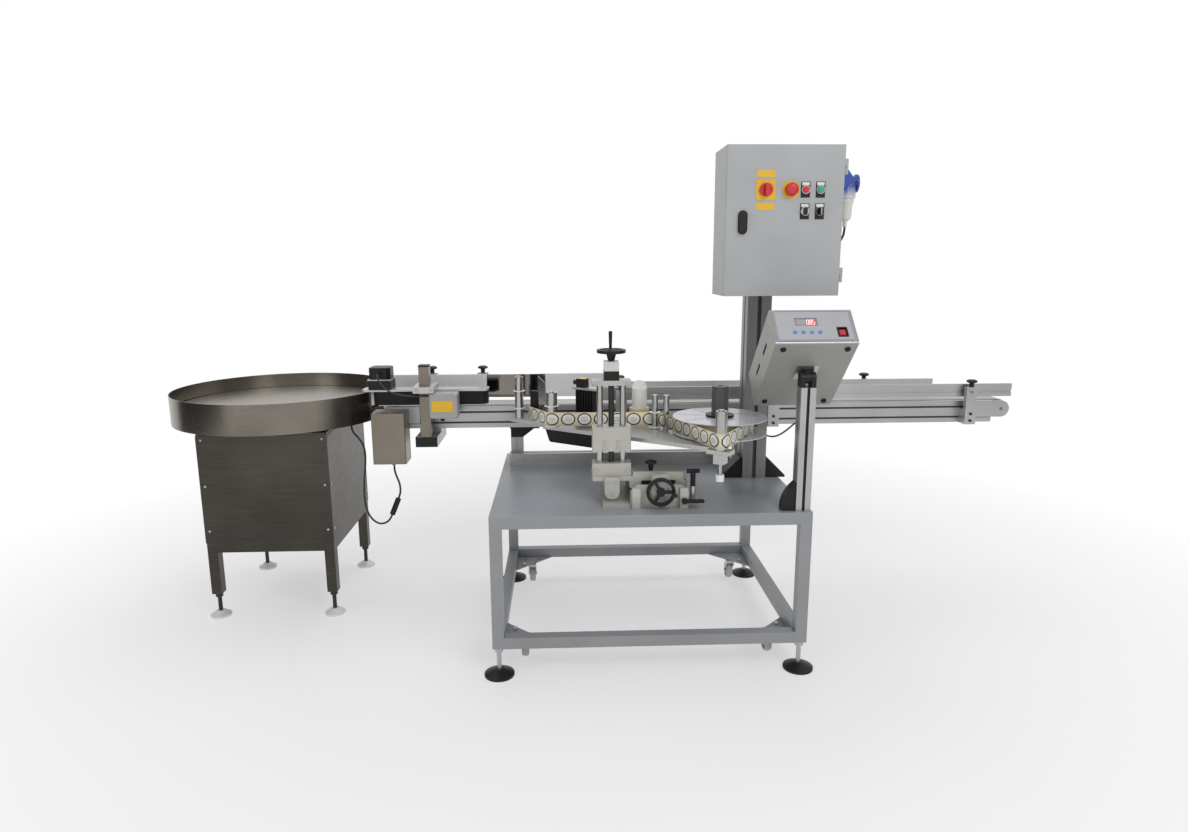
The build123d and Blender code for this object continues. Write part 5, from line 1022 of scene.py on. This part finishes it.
@dataclass
class Cart:
    """Welded cart with its table, feet and castors."""

    half_width: float = 544.0
    depth: float = 885.0
    plate_top: float = 110.0
    inset: float = 40.2
    bolt_radius: float = 8.0
    bolt_spots: tuple[tuple[float, float], ...] = ((40.0, 40.0), (96.0, 30.0), (30.0, 96.0))
    foot_top: float = 25.0
    stand_end: float = -900.0

    def build(self, shop: Shop) -> None:
        """Dress the solids and seat the castor bolts.

        Args:
            shop: the finishes and frame.
        """
        shop.paint("table_frame", CART_PAINT)
        shop.paint("table_top", TABLE_PAINT)
        foot, spindle = below(self.foot_top), above(self.foot_top)
        shop.paint("levelling_feet", ZINC,
                   Zone(BLACK_PLASTIC, x=above(self.stand_end), z=foot),
                   Zone(WHITE_PLASTIC, x=below(self.stand_end), z=foot),
                   Zone(BLACK_OXIDE, x=below(self.stand_end), z=spindle))
        shop.paint("castor_forks", ZINC)
        shop.paint_all(CASTOR_GREY, "castor_wheel_front_left", "castor_wheel_front_right", "castor_wheel_rear_left",
                       "castor_wheel_rear_right")
        spots = np.array(self.bolt_spots)
        corners = np.array(((-1, 0), (1, 0), (-1, 1), (1, 1)))
        x = corners[:, :1] * (self.half_width - self.inset - spots[:, 0])
        y = np.where(corners[:, 1:] == 0, self.inset + spots[:, 1], self.depth - self.inset - spots[:, 1])
        places = np.stack((x, y, np.full_like(x, self.plate_top)), axis=-1).reshape(-1, 3)
        shop.piece("castor_bolts", screws(Screw.HEX, self.bolt_radius, places, Facing.UP), ZINC, "machine")


@dataclass
class Turntable:
    """Infeed tray on its panelled stand."""

    x: float = -1467.0
    y: float = 796.0
    width: float = 504.0
    depth: float = 554.0
    side_share: float = 0.7
    screw_rows: tuple[float, ...] = (737.0, 550.0, 366.0)
    screw_radius: float = 5.5
    screw_inset: float = 20.0
    seam_height: float = 317.0
    seam: Pad = Pad(424.0, 2.6, thick=0.4, radius=1.0, edge=0.1)

    def build(self, shop: Shop) -> None:
        """Dress the stand, rim and disc, seat the panel screws and draw the panels' seams.

        Args:
            shop: the finishes and frame.
        """
        # Front faces take the darker copy as painted shade, side faces the lighter copy as painted light
        shop.paint("turntable_base", STEEL_FRONT_SHADED, Zone(STEEL_SIDE_LIT, ax=above(self.side_share)))
        shop.paint("tray_rim", STEEL_RIM)
        shop.paint("tray_disc", TRAY_STEEL)
        half_x, half_y = self.width / 2, self.depth / 2
        rows = np.repeat(self.screw_rows, 2)
        ends = np.tile((-1.0, 1.0), len(self.screw_rows))
        front = np.stack((self.x + ends * (half_x - self.screw_inset), np.full_like(rows, self.y - half_y), rows), -1)
        back = front * (1, 0, 1) + (0, self.y + half_y, 0)
        right = np.stack((np.full_like(rows, self.x + half_x), self.y + ends * (half_y - self.screw_inset), rows), -1)
        left = right * (0, 1, 1) + (self.x - half_x, 0, 0)
        heads = joined(*(screws(Screw.BUTTON, self.screw_radius, spots, way) for spots, way in
                         ((front, Facing.FRONT), (back, Facing.BACK), (right, Facing.RIGHT), (left, Facing.LEFT))))
        shop.piece("panel_screws", heads, ZINC, "machine")
        lines = joined(*(spread(self.seam.shape(), [(self.x, self.y + side * half_y, self.seam_height)], way)
                         for side, way in ((-1, Facing.FRONT), (1, Facing.BACK))))
        shop.piece("panel_seams", lines, SLOT_SHADE_AND_SEAM, "machine")


@dataclass
class Conveyor:
    """Belt conveyor with its stand, drive box and guide rails."""

    middle: float = 720.0
    slot_reach: float = 66.0
    front_bracket_face: float = 598.0
    back_bracket_face: float = 842.0
    front_brackets: tuple[float, ...] = (-60.0, 560.0, 1375.0)
    back_brackets: tuple[float, ...] = (-848.0, -634.0, -50.0, 560.0, 1013.0)
    bolt_rows: tuple[float, ...] = (762.0, 790.0)
    bolt_radius: float = 5.5
    sheet_foot: float = 847.0

    def build(self, shop: Shop) -> None:
        """Dress the line and seat the bracket bolts.

        Args:
            shop: the finishes and frame.
        """
        # Slot floors in painted shade
        shop.paint("conveyor_frame", EXTRUDED,
                   Zone(SLOT_SHADE_AND_SEAM, ay=above(SQUARE), test=pair("y", self.middle, self.slot_reach, 1)))
        shop.paint("conveyor_belt", BELT_GREY)
        shop.paint_all(STEEL_BRIGHT, "drive_roller", "tail_roller", "drive_box")
        # Posts, their clamps, the spacer's post and the end cap of its arm
        shop.paint("conveyor_stand", EXTRUDED,
                   Zone(EXTRUDED_UP, x=above(-520), z=(579, 691)),
                   Zone(BLACK_PLASTIC, x=above(-600), z=above(691)),
                   Zone(STEEL_BRIGHT, x=below(-700), y=below(600), z=above(731)),
                   Zone(BLACK_PLASTIC, x=below(-700), z=below(731), ny=below(-SQUARE)))
        shop.paint("guide_rail_front", EXTRUDED)
        # Rail tinted paler as painted light; the tall sheet on it and its polished stretch
        shop.paint("guide_rail_rear", RAIL_PAINTED_LIGHT,
                   Zone(GUIDE_PAINT, x=below(-94), y=below(805), z=above(self.sheet_foot)),
                   Zone(POLISHED, x=(-615.5, -367.5), y=below(797), z=above(self.sheet_foot)))
        # Fixed knobs on the low brackets, then on the tall ones
        shop.paint("guide_brackets", EXTRUDED_UP,
                   Zone(BLACK_PLASTIC, z=above(900.5), test=lambda faces: (faces.x > -95) | (faces.y < 700)),
                   Zone(BLACK_PLASTIC, z=above(947.3)))
        shop.paint_all(BLACK_PLASTIC, "guide_knob_front", "guide_knob_rear")
        sides = ((self.front_brackets, self.front_bracket_face, Facing.FRONT),
                 (self.back_brackets, self.back_bracket_face, Facing.BACK))
        bolts = joined(*(screws(Screw.SOCKET, self.bolt_radius, [(x, face, z) for x in brackets
                                                                 for z in self.bolt_rows], way)
                         for brackets, face, way in sides))
        shop.piece("bracket_bolts", bolts, BLACK_OXIDE, "machine")


@dataclass
class Spacer:
    """Side spacing belt with its motor and terminal box."""

    clamp_face: float = 527.0
    clamp_z: float = 922.0
    clamp_reach: float = 28.0
    clamp_radius: float = 5.0
    post: Spot = (-836.0, 577.0, 1009.0)
    box: Spot = (-761.0, 537.0, 857.0)
    lid_reach: tuple[float, float] = (46.0, 41.0)
    lid_radius: float = 4.5
    plate_shift: Spot = (-4.0, 0.0, -1.0)
    plate: Pad = Pad(82, 42, thick=0.5, radius=2, edge=0.2)
    cap: Pad = Pad(42, 42, thick=7, radius=3, edge=1.5)

    def build(self, shop: Shop) -> None:
        """Dress the spacer, seat the lid and clamp screws and the bare yellow plate.

        Args:
            shop: the finishes and frame.
        """
        shop.paint_all(MILLED, "spacer_plate", "spacer_pulley")
        shop.paint("spacer_belt", BLACK_RUBBER)
        shop.paint("gear_motors", MOTOR_BLACK, Zone(ZINC, x=below(-960), y=below(720), z=(951.8, 956.2)))
        shop.paint("junction_box", BOX_GREY, Zone(BLACK_PLASTIC, z=below(806.5)))
        box = np.array(self.box)
        lid = [box + (i * self.lid_reach[0], 0, k * self.lid_reach[1]) for i in (-1, 1) for k in (-1, 1)]
        clamp = [(self.post[0] + i * self.clamp_reach, self.clamp_face, self.clamp_z) for i in (-1, 1)]
        heads = joined(screws(Screw.BUTTON, self.lid_radius, lid, Facing.FRONT),
                       screws(Screw.SOCKET, self.clamp_radius, clamp, Facing.FRONT))
        shop.piece("spacer_screws", heads, ZINC, "machine")
        plate = spread(self.plate.shape(), [box + self.plate_shift], Facing.FRONT)
        shop.piece("bare_box_plate", plate, YELLOW_PLATE, "machine")
        cap = spread(self.cap.shape(), [self.post], Facing.UP)
        shop.piece("spacer_post_cap", cap, BLACK_PLASTIC, "machine")


@dataclass
class Cabinet:
    """Switch cabinet on its column, with the outlet at its side."""

    column: tuple[float, float] = (445.0, 475.0)
    slot_reach: float = 38.0
    column_half: float = 46.0
    door_face: float = 218.0
    plate_rise: float = 1.5
    middle: Spot = (465.0, 239.8, 1540.0)
    switch_x: float = 398.0
    emergency_x: float = 483.0
    button_columns: tuple[float, float] = (533.0, 584.0)
    button_plates: Span = (515.0, 601.0)
    upper_row: float = 1644.0
    lower_row: float = 1573.0
    legend_rise: float = 19.0
    legend: Pad = Pad(25, 10, thick=0.4, radius=1, edge=0.15)
    switch_rises: tuple[float, float] = (52.0, -54.0)
    switch_plate: Pad = Pad(62, 22, thick=0.5, radius=1.5, edge=0.2)
    bezel: tuple[tuple[float, float], ...] = ((13.5, 0), (15.4, 0), (15.4, 7), (14.6, 8), (13.5, 8))
    bezel_sides: int = 28
    seal: Band = Band(397, 497, radius=2, line=12, thick=1.4)
    latch: tuple[float, float] = (322.0, 1537.0)
    latch_rim: Band = Band(40, 88, radius=19.5, line=3.4, thick=2.2)
    pointer: Pad = Pad(2.2, 20, thick=0.4, radius=0.6, edge=0.1)
    pointer_face: float = 193.4

    def dress(self, shop: Shop) -> None:
        """Dress the column, cabinet and controls.

        Args:
            shop: the finishes and frame.
        """
        x, y = self.column
        # Slot floors in painted shade, foot brackets and the glands of both leads
        shop.paint("column", COLUMN_ALLOY,
                   Zone(SLOT_SHADE_AND_SEAM, ax=above(SQUARE), test=pair("x", x, self.slot_reach, 1)),
                   Zone(SLOT_SHADE_AND_SEAM, ay=above(SQUARE), test=pair("y", y, self.slot_reach, 1)),
                   Zone(BLACK_PLASTIC, z=below(661), test=beyond("x", x, self.column_half)),
                   Zone(BLACK_PLASTIC, x=above(x + self.column_half), z=above(1390)),
                   Zone(BLACK_PLASTIC, y=below(429.5), z=below(800)))
        # Mounting plate and devices inside
        shop.paint("cabinet_shell", CABINET_PAINT, Zone(GREY_PLASTIC, x=within(self.middle[0], 175), y=(290, 427)))
        # Yellow fields behind the switch and the stop, legend plates and their button rings
        proud, rings = below(self.door_face - 0.1), below(self.door_face - 1.6)
        shop.paint("cabinet_door", CABINET_PAINT,
                   Zone(YELLOW_PLATE, y=proud, test=about("xz", self.switch_x, self.upper_row, below(50))),
                   Zone(YELLOW_PLATE, y=proud, test=about("xz", self.emergency_x, self.upper_row, below(31))),
                   Zone(BLACK_PLASTIC, x=self.button_plates, y=proud, z=below(1680)),
                   Zone(CHROME, x=self.button_plates, y=rings, z=below(1680)))
        shop.paint_all(BLACK_PLASTIC, "door_latch", "selector_left", "selector_right")
        shop.paint_all(RED_PLASTIC, "main_switch", "emergency_stop", "stop_button")
        shop.paint("start_button", GREEN_PLASTIC)
        shop.paint("power_outlet", BLUE_PLASTIC, Zone(PLUG_GREY, z=below(1640)),
                   Zone(PLUG_GREY, x=below(680), z=above(1700)))

    def build(self, shop: Shop) -> None:
        """Dress the cabinet and its controls, and add fields, rims and bare plates.

        Args:
            shop: the finishes and frame.
        """
        self.dress(shop)
        plates = self.door_face - self.plate_rise
        left, right = self.button_columns
        fields = [(x, plates, z + self.legend_rise) for x in self.button_columns
                  for z in (self.upper_row, self.lower_row)]
        bare = [(self.switch_x, self.door_face, self.upper_row + rise) for rise in self.switch_rises]
        for name, shape, places, finish, body, slot in (
                ("legend_fields", self.legend.shape(), fields, WHITE_PLASTIC, "cabinet_door", "white_plastic"),
                ("bare_switch_plates", self.switch_plate.shape(), bare, YELLOW_PLATE, "cabinet_door",
                 "grey_plastic"),
                ("selector_bezel", turned(self.bezel, self.bezel_sides), [(left, plates, self.lower_row)], CHROME,
                 "cabinet_door", "chrome"),
                ("door_seal", self.seal.shape(), [self.middle], BLACK_RUBBER, "machine", "black_rubber"),
                ("latch_rim", self.latch_rim.shape(), [(self.latch[0], self.door_face, self.latch[1])],
                 GREY_PLASTIC, "door_latch", "grey_plastic"),
                ("selector_pointer", self.pointer.shape(), [(right, self.pointer_face, self.lower_row)],
                 WHITE_PLASTIC, "selector_right", "white_plastic")):
            shop.piece(name, spread(shape, places, Facing.FRONT), finish, body)


@dataclass
class ControlBox:
    """Tilting control box on its post."""

    post: tuple[float, float] = (514.0, 40.0)
    slot_reach: float = 20.0
    post_top: float = 999.0
    panel_rise: float = 2.0
    frame_line: Band = Band(246, 120, radius=5, line=1.2, thick=0.35)
    display: tuple[float, float] = (-23.0, 16.0)
    keys_z: float = -28.0
    rocker: tuple[float, float] = (88.0, -27.0)
    rocker_frame: Band = Band(34, 40, radius=3, line=4.2, thick=1.2)
    digits: str = "085"
    unlit: str = "888"
    lit_start: float = 6.0
    unlit_start: float = -26.2
    digit_pitch: float = 9.4
    digit_half: float = 3.312
    digit_rise: float = 4.5
    level_bar: Pad = Pad(4.8, 1.4, thick=0.4, radius=0.5, edge=0.1)
    upright_bar: Pad = Pad(1.4, 7.6, thick=0.4, radius=0.5, edge=0.1)
    bar_rise: float = 0.1
    halo: Pad = Pad(32, 24, thick=0.06, radius=8, edge=0.02)
    halo_rise: float = 0.02

    def on_panel(self, shape: Shape, places: Sequence[tuple[float, float]], height: float) -> Shape:
        """Set a local shape on the panel.

        Args:
            shape: the local shape.
            places: x and upward distances from the panel's middle.
            height: distance out of the case's front.

        Returns:
            The copies in the cart's frame.
        """
        flat = np.array([(x, z, height) for x, z in places]) @ Facing.PANEL.axes + PANEL_MIDDLE
        return spread(shape, flat, Facing.PANEL)

    def figures(self, digits: str, start: float) -> Shape:
        """Seven-segment figures: each bar is a slim pad at its place on a two by three lattice.

        Args:
            digits: the figures.
            start: place of the first one from the window's middle.

        Returns:
            All bars as one shape.
        """
        lit = {"0": "abcdef", "5": "afgcd", "8": "abcdefg"}
        half, rise = self.digit_half, self.digit_rise
        level = {"a": (0.0, 2 * rise), "g": (0.0, 0.0), "d": (0.0, -2 * rise)}
        upright = {"b": (half, rise), "c": (half, -rise), "e": (-half, -rise), "f": (-half, rise)}
        starts = self.display[0] + start + np.arange(len(digits)) * self.digit_pitch
        shapes = []
        for bars, bar in ((level, self.level_bar), (upright, self.upright_bar)):
            places = [(x + bars[s][0], self.display[1] + bars[s][1]) for x, digit in zip(starts, digits)
                      for s in lit[digit] if s in bars]
            shapes.append(self.on_panel(bar.shape(), places, self.bar_rise))
        return joined(*shapes)

    def dress(self, shop: Shop) -> None:
        """Dress the post, case and rocker.

        Args:
            shop: the finishes and frame.
        """
        x, y = self.post
        post = below(self.post_top)
        # Slot floors in painted shade and cover strips, then the hinge fork, the foot's wedge and the lead's gland
        shop.paint("control_post", EXTRUDED_UP,
                   Zone(SLOT_SHADE_AND_SEAM, z=post, ax=above(SQUARE), test=pair("x", x, self.slot_reach, 1)),
                   Zone(BLACK_PLASTIC, z=post, ay=above(SQUARE), test=pair("y", y, self.slot_reach, 1)),
                   Zone(BLACK_PLASTIC, z=above(1000.2)),
                   Zone(BLACK_PLASTIC, x=below(488.8)),
                   Zone(BLACK_PLASTIC, y=above(65.2)))
        # Panel film; case edges in a paler metal finish, a painted highlight along the folded lips; rubber feet,
        # hinge plate and lug, keys, window and the rocker's pocket
        shop.paint("control_box", CASE_STEEL,
                   Zone(PANEL_FILM, px=within(0, 127), pv=within(0, 64), pn=above(0.2)),
                   # Folded lips above and below the film: painted highlight in a paler metal finish
                   Zone(EXTRUDED, pn=above(-5.1), test=beyond("pv", 0, 65)),
                   Zone(BLACK_RUBBER, pv=below(-70.6), test=pair("px", 0, 104, 9.5)),
                   Zone(ZINC, px=within(0, 38), pv=below(-70.6)),
                   Zone(BLACK_PLASTIC, px=within(0, 11), pv=below(-73.2)),
                   Zone(KEY_BLUE, pv=within(self.keys_z, 8), pn=above(2.2)),
                   Zone(WINDOW_GREY, px=within(self.display[0], 37.5), pv=within(self.display[1], 17),
                        pn=within(0, 1.9)),
                   Zone(BLACK_PLASTIC, px=within(self.rocker[0], 14), pv=within(self.rocker[1], 17), pn=(-20, 1.9)))
        shop.paint("rocker_switch", RED_PLASTIC)

    def build(self, shop: Shop) -> None:
        """Dress the post, case and rocker and add the panel's small parts.

        Args:
            shop: the finishes and frame.
        """
        self.dress(shop)
        glow = (self.display[0] + self.lit_start + self.digit_pitch, self.display[1])
        for name, shape, finish, slot in (
                ("panel_frame_line", self.on_panel(self.frame_line.shape(), [(0.0, 0.0)], self.panel_rise),
                 BLUE_PLASTIC, "blue_plastic"),
                ("display_halo", self.on_panel(self.halo.shape(), [glow], self.halo_rise), DIGIT_HALO,
                 "red_plastic"),
                ("display_digits", self.figures(self.digits, self.lit_start), DIGIT_GLOW, "red_plastic"),
                ("unlit_digits", self.figures(self.unlit, self.unlit_start), DIGIT_DULL, "white_plastic"),
                ("rocker_frame", self.on_panel(self.rocker_frame.shape(), [self.rocker], self.panel_rise),
                 BLACK_PLASTIC, "black_plastic")):
            shop.piece(name, shape, finish, "control_box")


@dataclass
class Slide:
    """Cross slide and lift tower under the head."""

    tower: tuple[float, float] = (-126.0, 172.0)
    tower_front: float = 140.0
    tower_reach: float = 56.0
    tower_rows: tuple[float, float] = (1002.5, 699.0)
    tower_radius: float = 6.8
    foot_front: float = 114.0
    foot_spots: tuple[tuple[float, float], ...] = ((-14.0, 660.0), (14.0, 660.0), (0.0, 618.0))
    foot_radius: float = 5.0
    lift_reach: float = 24.0
    lift_rows: tuple[float, float] = (776.0, 797.0)
    lift_radius: float = 6.5
    knob: tuple[float, float] = (14.0, 172.0)
    slide_x: float = 36.0
    slide_front: float = 85.0
    slide_top: float = 591.5
    block_reach: float = 78.0
    block_z: float = 640.0
    block_radius: float = 8.0
    sleeve: Pad = Pad(51.6, 57.2, thick=32, radius=1.5, edge=0.4)
    sleeve_foot: float = 1011.2

    def build(self, shop: Shop) -> None:
        """Dress the slide and tower and seat their screws.

        Args:
            shop: the finishes and frame.
        """
        # Indicator, rails, the clamp lever's pin and the clamp handle's stem
        shop.paint("slide_base", BLASTED,
                   Zone(GREY_PLASTIC, x=within(self.slide_x, 28.5), y=(62.5, self.slide_front), z=above(624)),
                   Zone(BLACK_OXIDE, y=(102, 308), z=above(self.slide_top), test=pair("x", self.slide_x, 80, 13)),
                   Zone(BLACK_PLASTIC, x=above(100), y=below(66.5)),
                   Zone(ZINC, z=above(self.slide_top), test=about("xy", 152, 100, below(11))))
        shop.paint("slide_wheel", BLACK_PLASTIC, Zone(ZINC, y=above(60)))
        shop.paint_all(BLACK_PLASTIC, "clamp_lever", "clamp_handle")
        # Rods, knob and indicator
        shop.paint("lift_tower", BLASTED,
                   Zone(CHROME, z=(721.5, 993.5)),
                   Zone(BLACK_PLASTIC, z=above(677.5), test=about("xy", *self.knob, below(24))),
                   Zone(PLUG_GREY, z=above(1011.5)))
        shop.paint("lift_wheel", BLACK_PLASTIC, Zone(BLACK_OXIDE, z=below(1074)))
        shop.paint("lift_carriage", BLASTED)
        x, front = self.tower[0], self.tower_front
        sleeve = spread(self.sleeve.shape(), [(*self.tower, self.sleeve_foot)], Facing.UP)
        shop.piece("indicator_base", sleeve, BLACK_PLASTIC, "lift_tower")
        plates = [(x + i * self.tower_reach, front, z) for z in self.tower_rows for i in (-1, 1)]
        foot = [(x + shift, self.foot_front, z) for shift, z in self.foot_spots]
        tower = joined(screws(Screw.SOCKET, self.tower_radius, plates, Facing.FRONT),
                       screws(Screw.SOCKET, self.foot_radius, foot, Facing.FRONT))
        shop.piece("tower_screws", tower, ZINC, "lift_tower")
        block = [(self.slide_x + i * self.block_reach, self.slide_front, self.block_z) for i in (-1, 1)]
        shop.piece("slide_bolts", screws(Screw.SOCKET, self.block_radius, block, Facing.FRONT), BLACK_OXIDE,
                   "machine")
        lift = [(x + i * self.lift_reach, front, z) for i in (-1, 1) for z in self.lift_rows]
        shop.piece("lift_screws", screws(Screw.SOCKET, self.lift_radius, lift, Facing.FRONT), ZINC,
                   "labelling_head")


@dataclass
class Head:
    """Labelling head: plate, web, rollers, spool and reel."""

    web_bottom: float = 807.0
    web_height: float = 52.0
    web_thick: float = 0.8
    web_gap: float = 0.6
    wraps: tuple[Spot, ...] = (
        (625.0, 222.0, -120.0), (736.0, -22.0, -19.0), (427.0, 188.0, -11.0), (388.0, 173.0, 11.0),
        (46.0, -5.0, -21.0), (-96.0, 40.0, 0.0))
    sensor: tuple[float, float] = (120.0, 124.0)
    plate_top: float = 800.1
    pins_from: float = 800.3
    reel: tuple[float, float] = (625.0, 222.0)
    reel_top: float = 862.0
    rib_count: int = 8
    rib_start: float = 73.0
    rib_reach: float = 108.0
    rib: Pad = Pad(84, 3.4, thick=1.1, radius=1.5, edge=0.4)
    clip_reach: float = 74.0
    clip: Pad = Pad(46, 7, thick=4, radius=3, edge=1)

    def web_path(self) -> np.ndarray:
        """Path of the web in the head's plane: straight runs that touch each roller, and arcs round them.

        A run's normal is along * k + left * sqrt(1 - k^2) with k the radii's difference over the distance; a
        radius is negative where the web passes with the roller on its right.

        Returns:
            Points x 2, from the reel to the peel plate.
        """
        stops = np.array(self.wraps)
        centre = stops[:, :2]
        radius = stops[:, 2] + np.sign(stops[:, 2]) * (self.web_thick / 2 + self.web_gap)
        way = np.diff(centre, axis=0)
        reach = np.linalg.norm(way, axis=1)
        along = way / reach[:, None]
        lean = np.diff(radius) / reach
        left = along[:, ::-1] * (-1.0, 1.0)
        normal = along * lean[:, None] + left * np.sqrt(1.0 - lean ** 2)[:, None]
        leave = centre[:-1] - radius[:-1, None] * normal
        arrive = centre[1:] - radius[1:, None] * normal
        first, last = (np.arctan2(spot[:, 1], spot[:, 0]) for spot in (arrive[:-1] - centre[1:-1],
                                                                        leave[1:] - centre[1:-1]))
        sweep = (last - first + np.pi) % (2.0 * np.pi) - np.pi
        angle = first[:, None] + sweep[:, None] * np.linspace(0.0, 1.0, ARC_POINTS)
        arcs = centre[1:-1, None] + np.abs(radius[1:-1])[:, None, None] * np.stack((np.cos(angle), np.sin(angle)), -1)
        return np.concatenate((leave[:1], arcs.reshape(-1, 2), arrive[-1:]))

    def build_web(self, shop: Shop) -> None:
        """Make the web: the path carried up by its height, mapped by run and rise in metres.

        Args:
            shop: the finishes and frame.
        """
        path = self.web_path()
        run = np.concatenate(([0.0], np.cumsum(np.linalg.norm(np.diff(path, axis=0), axis=1))))
        rows = np.stack([head_point(path[:, 0], path[:, 1], z)
                         for z in (self.web_bottom, self.web_bottom + self.web_height)])
        count = len(path)
        step = np.arange(count - 1)
        faces = np.stack((step + count, step + count + 1, step + 1, step), axis=-1).tolist()
        web = shop.piece("printed_label_web", (rows.reshape(-1, 3), faces), LABEL_PAPER, "labelling_head")
        flat = np.stack((np.tile(run, 2), np.repeat((0.0, self.web_height), count)), axis=-1) * MM
        corner = np.empty(len(web.data.loops), dtype=np.int32)
        web.data.loops.foreach_get("vertex_index", corner)
        chart = web.data.uv_layers.new(name="web")
        chart.uv.foreach_set("vector", flat[corner].astype(np.float32).ravel())
        wall = web.modifiers.new("paper", "SOLIDIFY")
        wall.thickness, wall.offset = self.web_thick * MM, 0.0
        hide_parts("label_web")

    def build(self, shop: Shop) -> None:
        """Dress the head's solids, make the web and rib the reel.

        Args:
            shop: the finishes and frame.
        """
        sensor = about("uv", *self.sensor, below(62))
        # Pins and posts, a post's white collars, the peel block, the sensor, its cap and eye, the tension rod and cup
        shop.paint("head_plate", MILLED,
                   Zone(CHROME, z=above(self.pins_from)),
                   Zone(WHITE_PLASTIC, z=above(self.pins_from), test=about("uv", 388, 173, (11.4, 21))),
                   Zone(BLACK_PLASTIC, z=above(self.plate_top), u=(-98, -62.5)),
                   Zone(BLACK_PLASTIC, z=above(self.plate_top), test=sensor),
                   Zone(MILLED, z=(929.9, 938.1), test=sensor),
                   Zone(YELLOW_PLATE, z=above(971.5), test=sensor),
                   Zone(CHROME, z=below(757), test=about("uv", 736, -22, below(9))),
                   Zone(WHITE_PLASTIC, z=below(718.4), test=about("uv", 736, -22, below(20))))
        shop.paint("head_cover", BLACK_PLASTIC)
        self.build_web(shop)
        shop.paint("tension_roller", CHROME)
        shop.paint("guide_roller", CHROME, Zone(WHITE_PLASTIC, test=about("uv", 46, -5, above(21.4))))
        shop.paint("press_roller", CHROME, Zone(WHITE_PLASTIC, test=about("uv", -167, 72, above(17.4))))
        # Wound liner and the rim of the spool's clip
        shop.paint("rewind_spool", WHITE_PLASTIC, Zone(REWOUND, z=below(857.2)),
                   Zone(ZINC, z=above(933.2), ay=below(SQUARE)))
        # Wound labels between the discs, hub ring and core
        shop.paint("label_reel", REEL_PLASTIC, Zone(LINER_PAPER, z=(807.2, 858.8)),
                   Zone(BLACK_PLASTIC, z=(862.3, 870.5)), Zone(CORE_GREY, z=above(870.5)))
        self.rib_reel(shop)

    def rib_reel(self, shop: Shop) -> None:
        """Lay raised ribs and two hub clips on the reel's upper disc.

        Args:
            shop: the finishes and frame.
        """
        turns = np.radians(np.arange(self.rib_count) * 360.0 / self.rib_count + self.rib_start)
        out = np.stack((np.cos(turns), np.sin(turns), np.zeros_like(turns)), axis=-1)
        up = np.broadcast_to((0.0, 0.0, 1.0), out.shape)
        axes = np.stack((out, np.cross(up, out), up), axis=1)
        middle = head_point(*self.reel, self.reel_top)
        clips = slice(None, None, self.rib_count // 2)
        ribs = spread(self.rib.shape(), middle + self.rib_reach * out, axes)
        shop.piece("reel_ribs", ribs, REEL_PLASTIC, "label_reel")
        holds = spread(self.clip.shape(), middle + self.clip_reach * out[clips], axes[clips])
        shop.piece("reel_clips", holds, BLACK_PLASTIC, "label_reel")


def main() -> None:
    """Build the classes in order over the loaded frame."""
    logging.basicConfig(level=logging.INFO, format="%(message)s")
    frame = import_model()
    studio = Studio()
    studio.set_camera()
    shop = Shop(frame)
    Leads().build(shop)
    for group in (Cart(), Turntable(), Conveyor(), Spacer(), Cabinet(), ControlBox(), Slide(), Head()):
        LOG.info("building %s", type(group).__name__)
        group.build(shop)
    studio.lay_floor()
    studio.hang_flags()
    studio.light_up()
    bpy.context.view_layer.update()


if __name__ == "__main__":
    main()
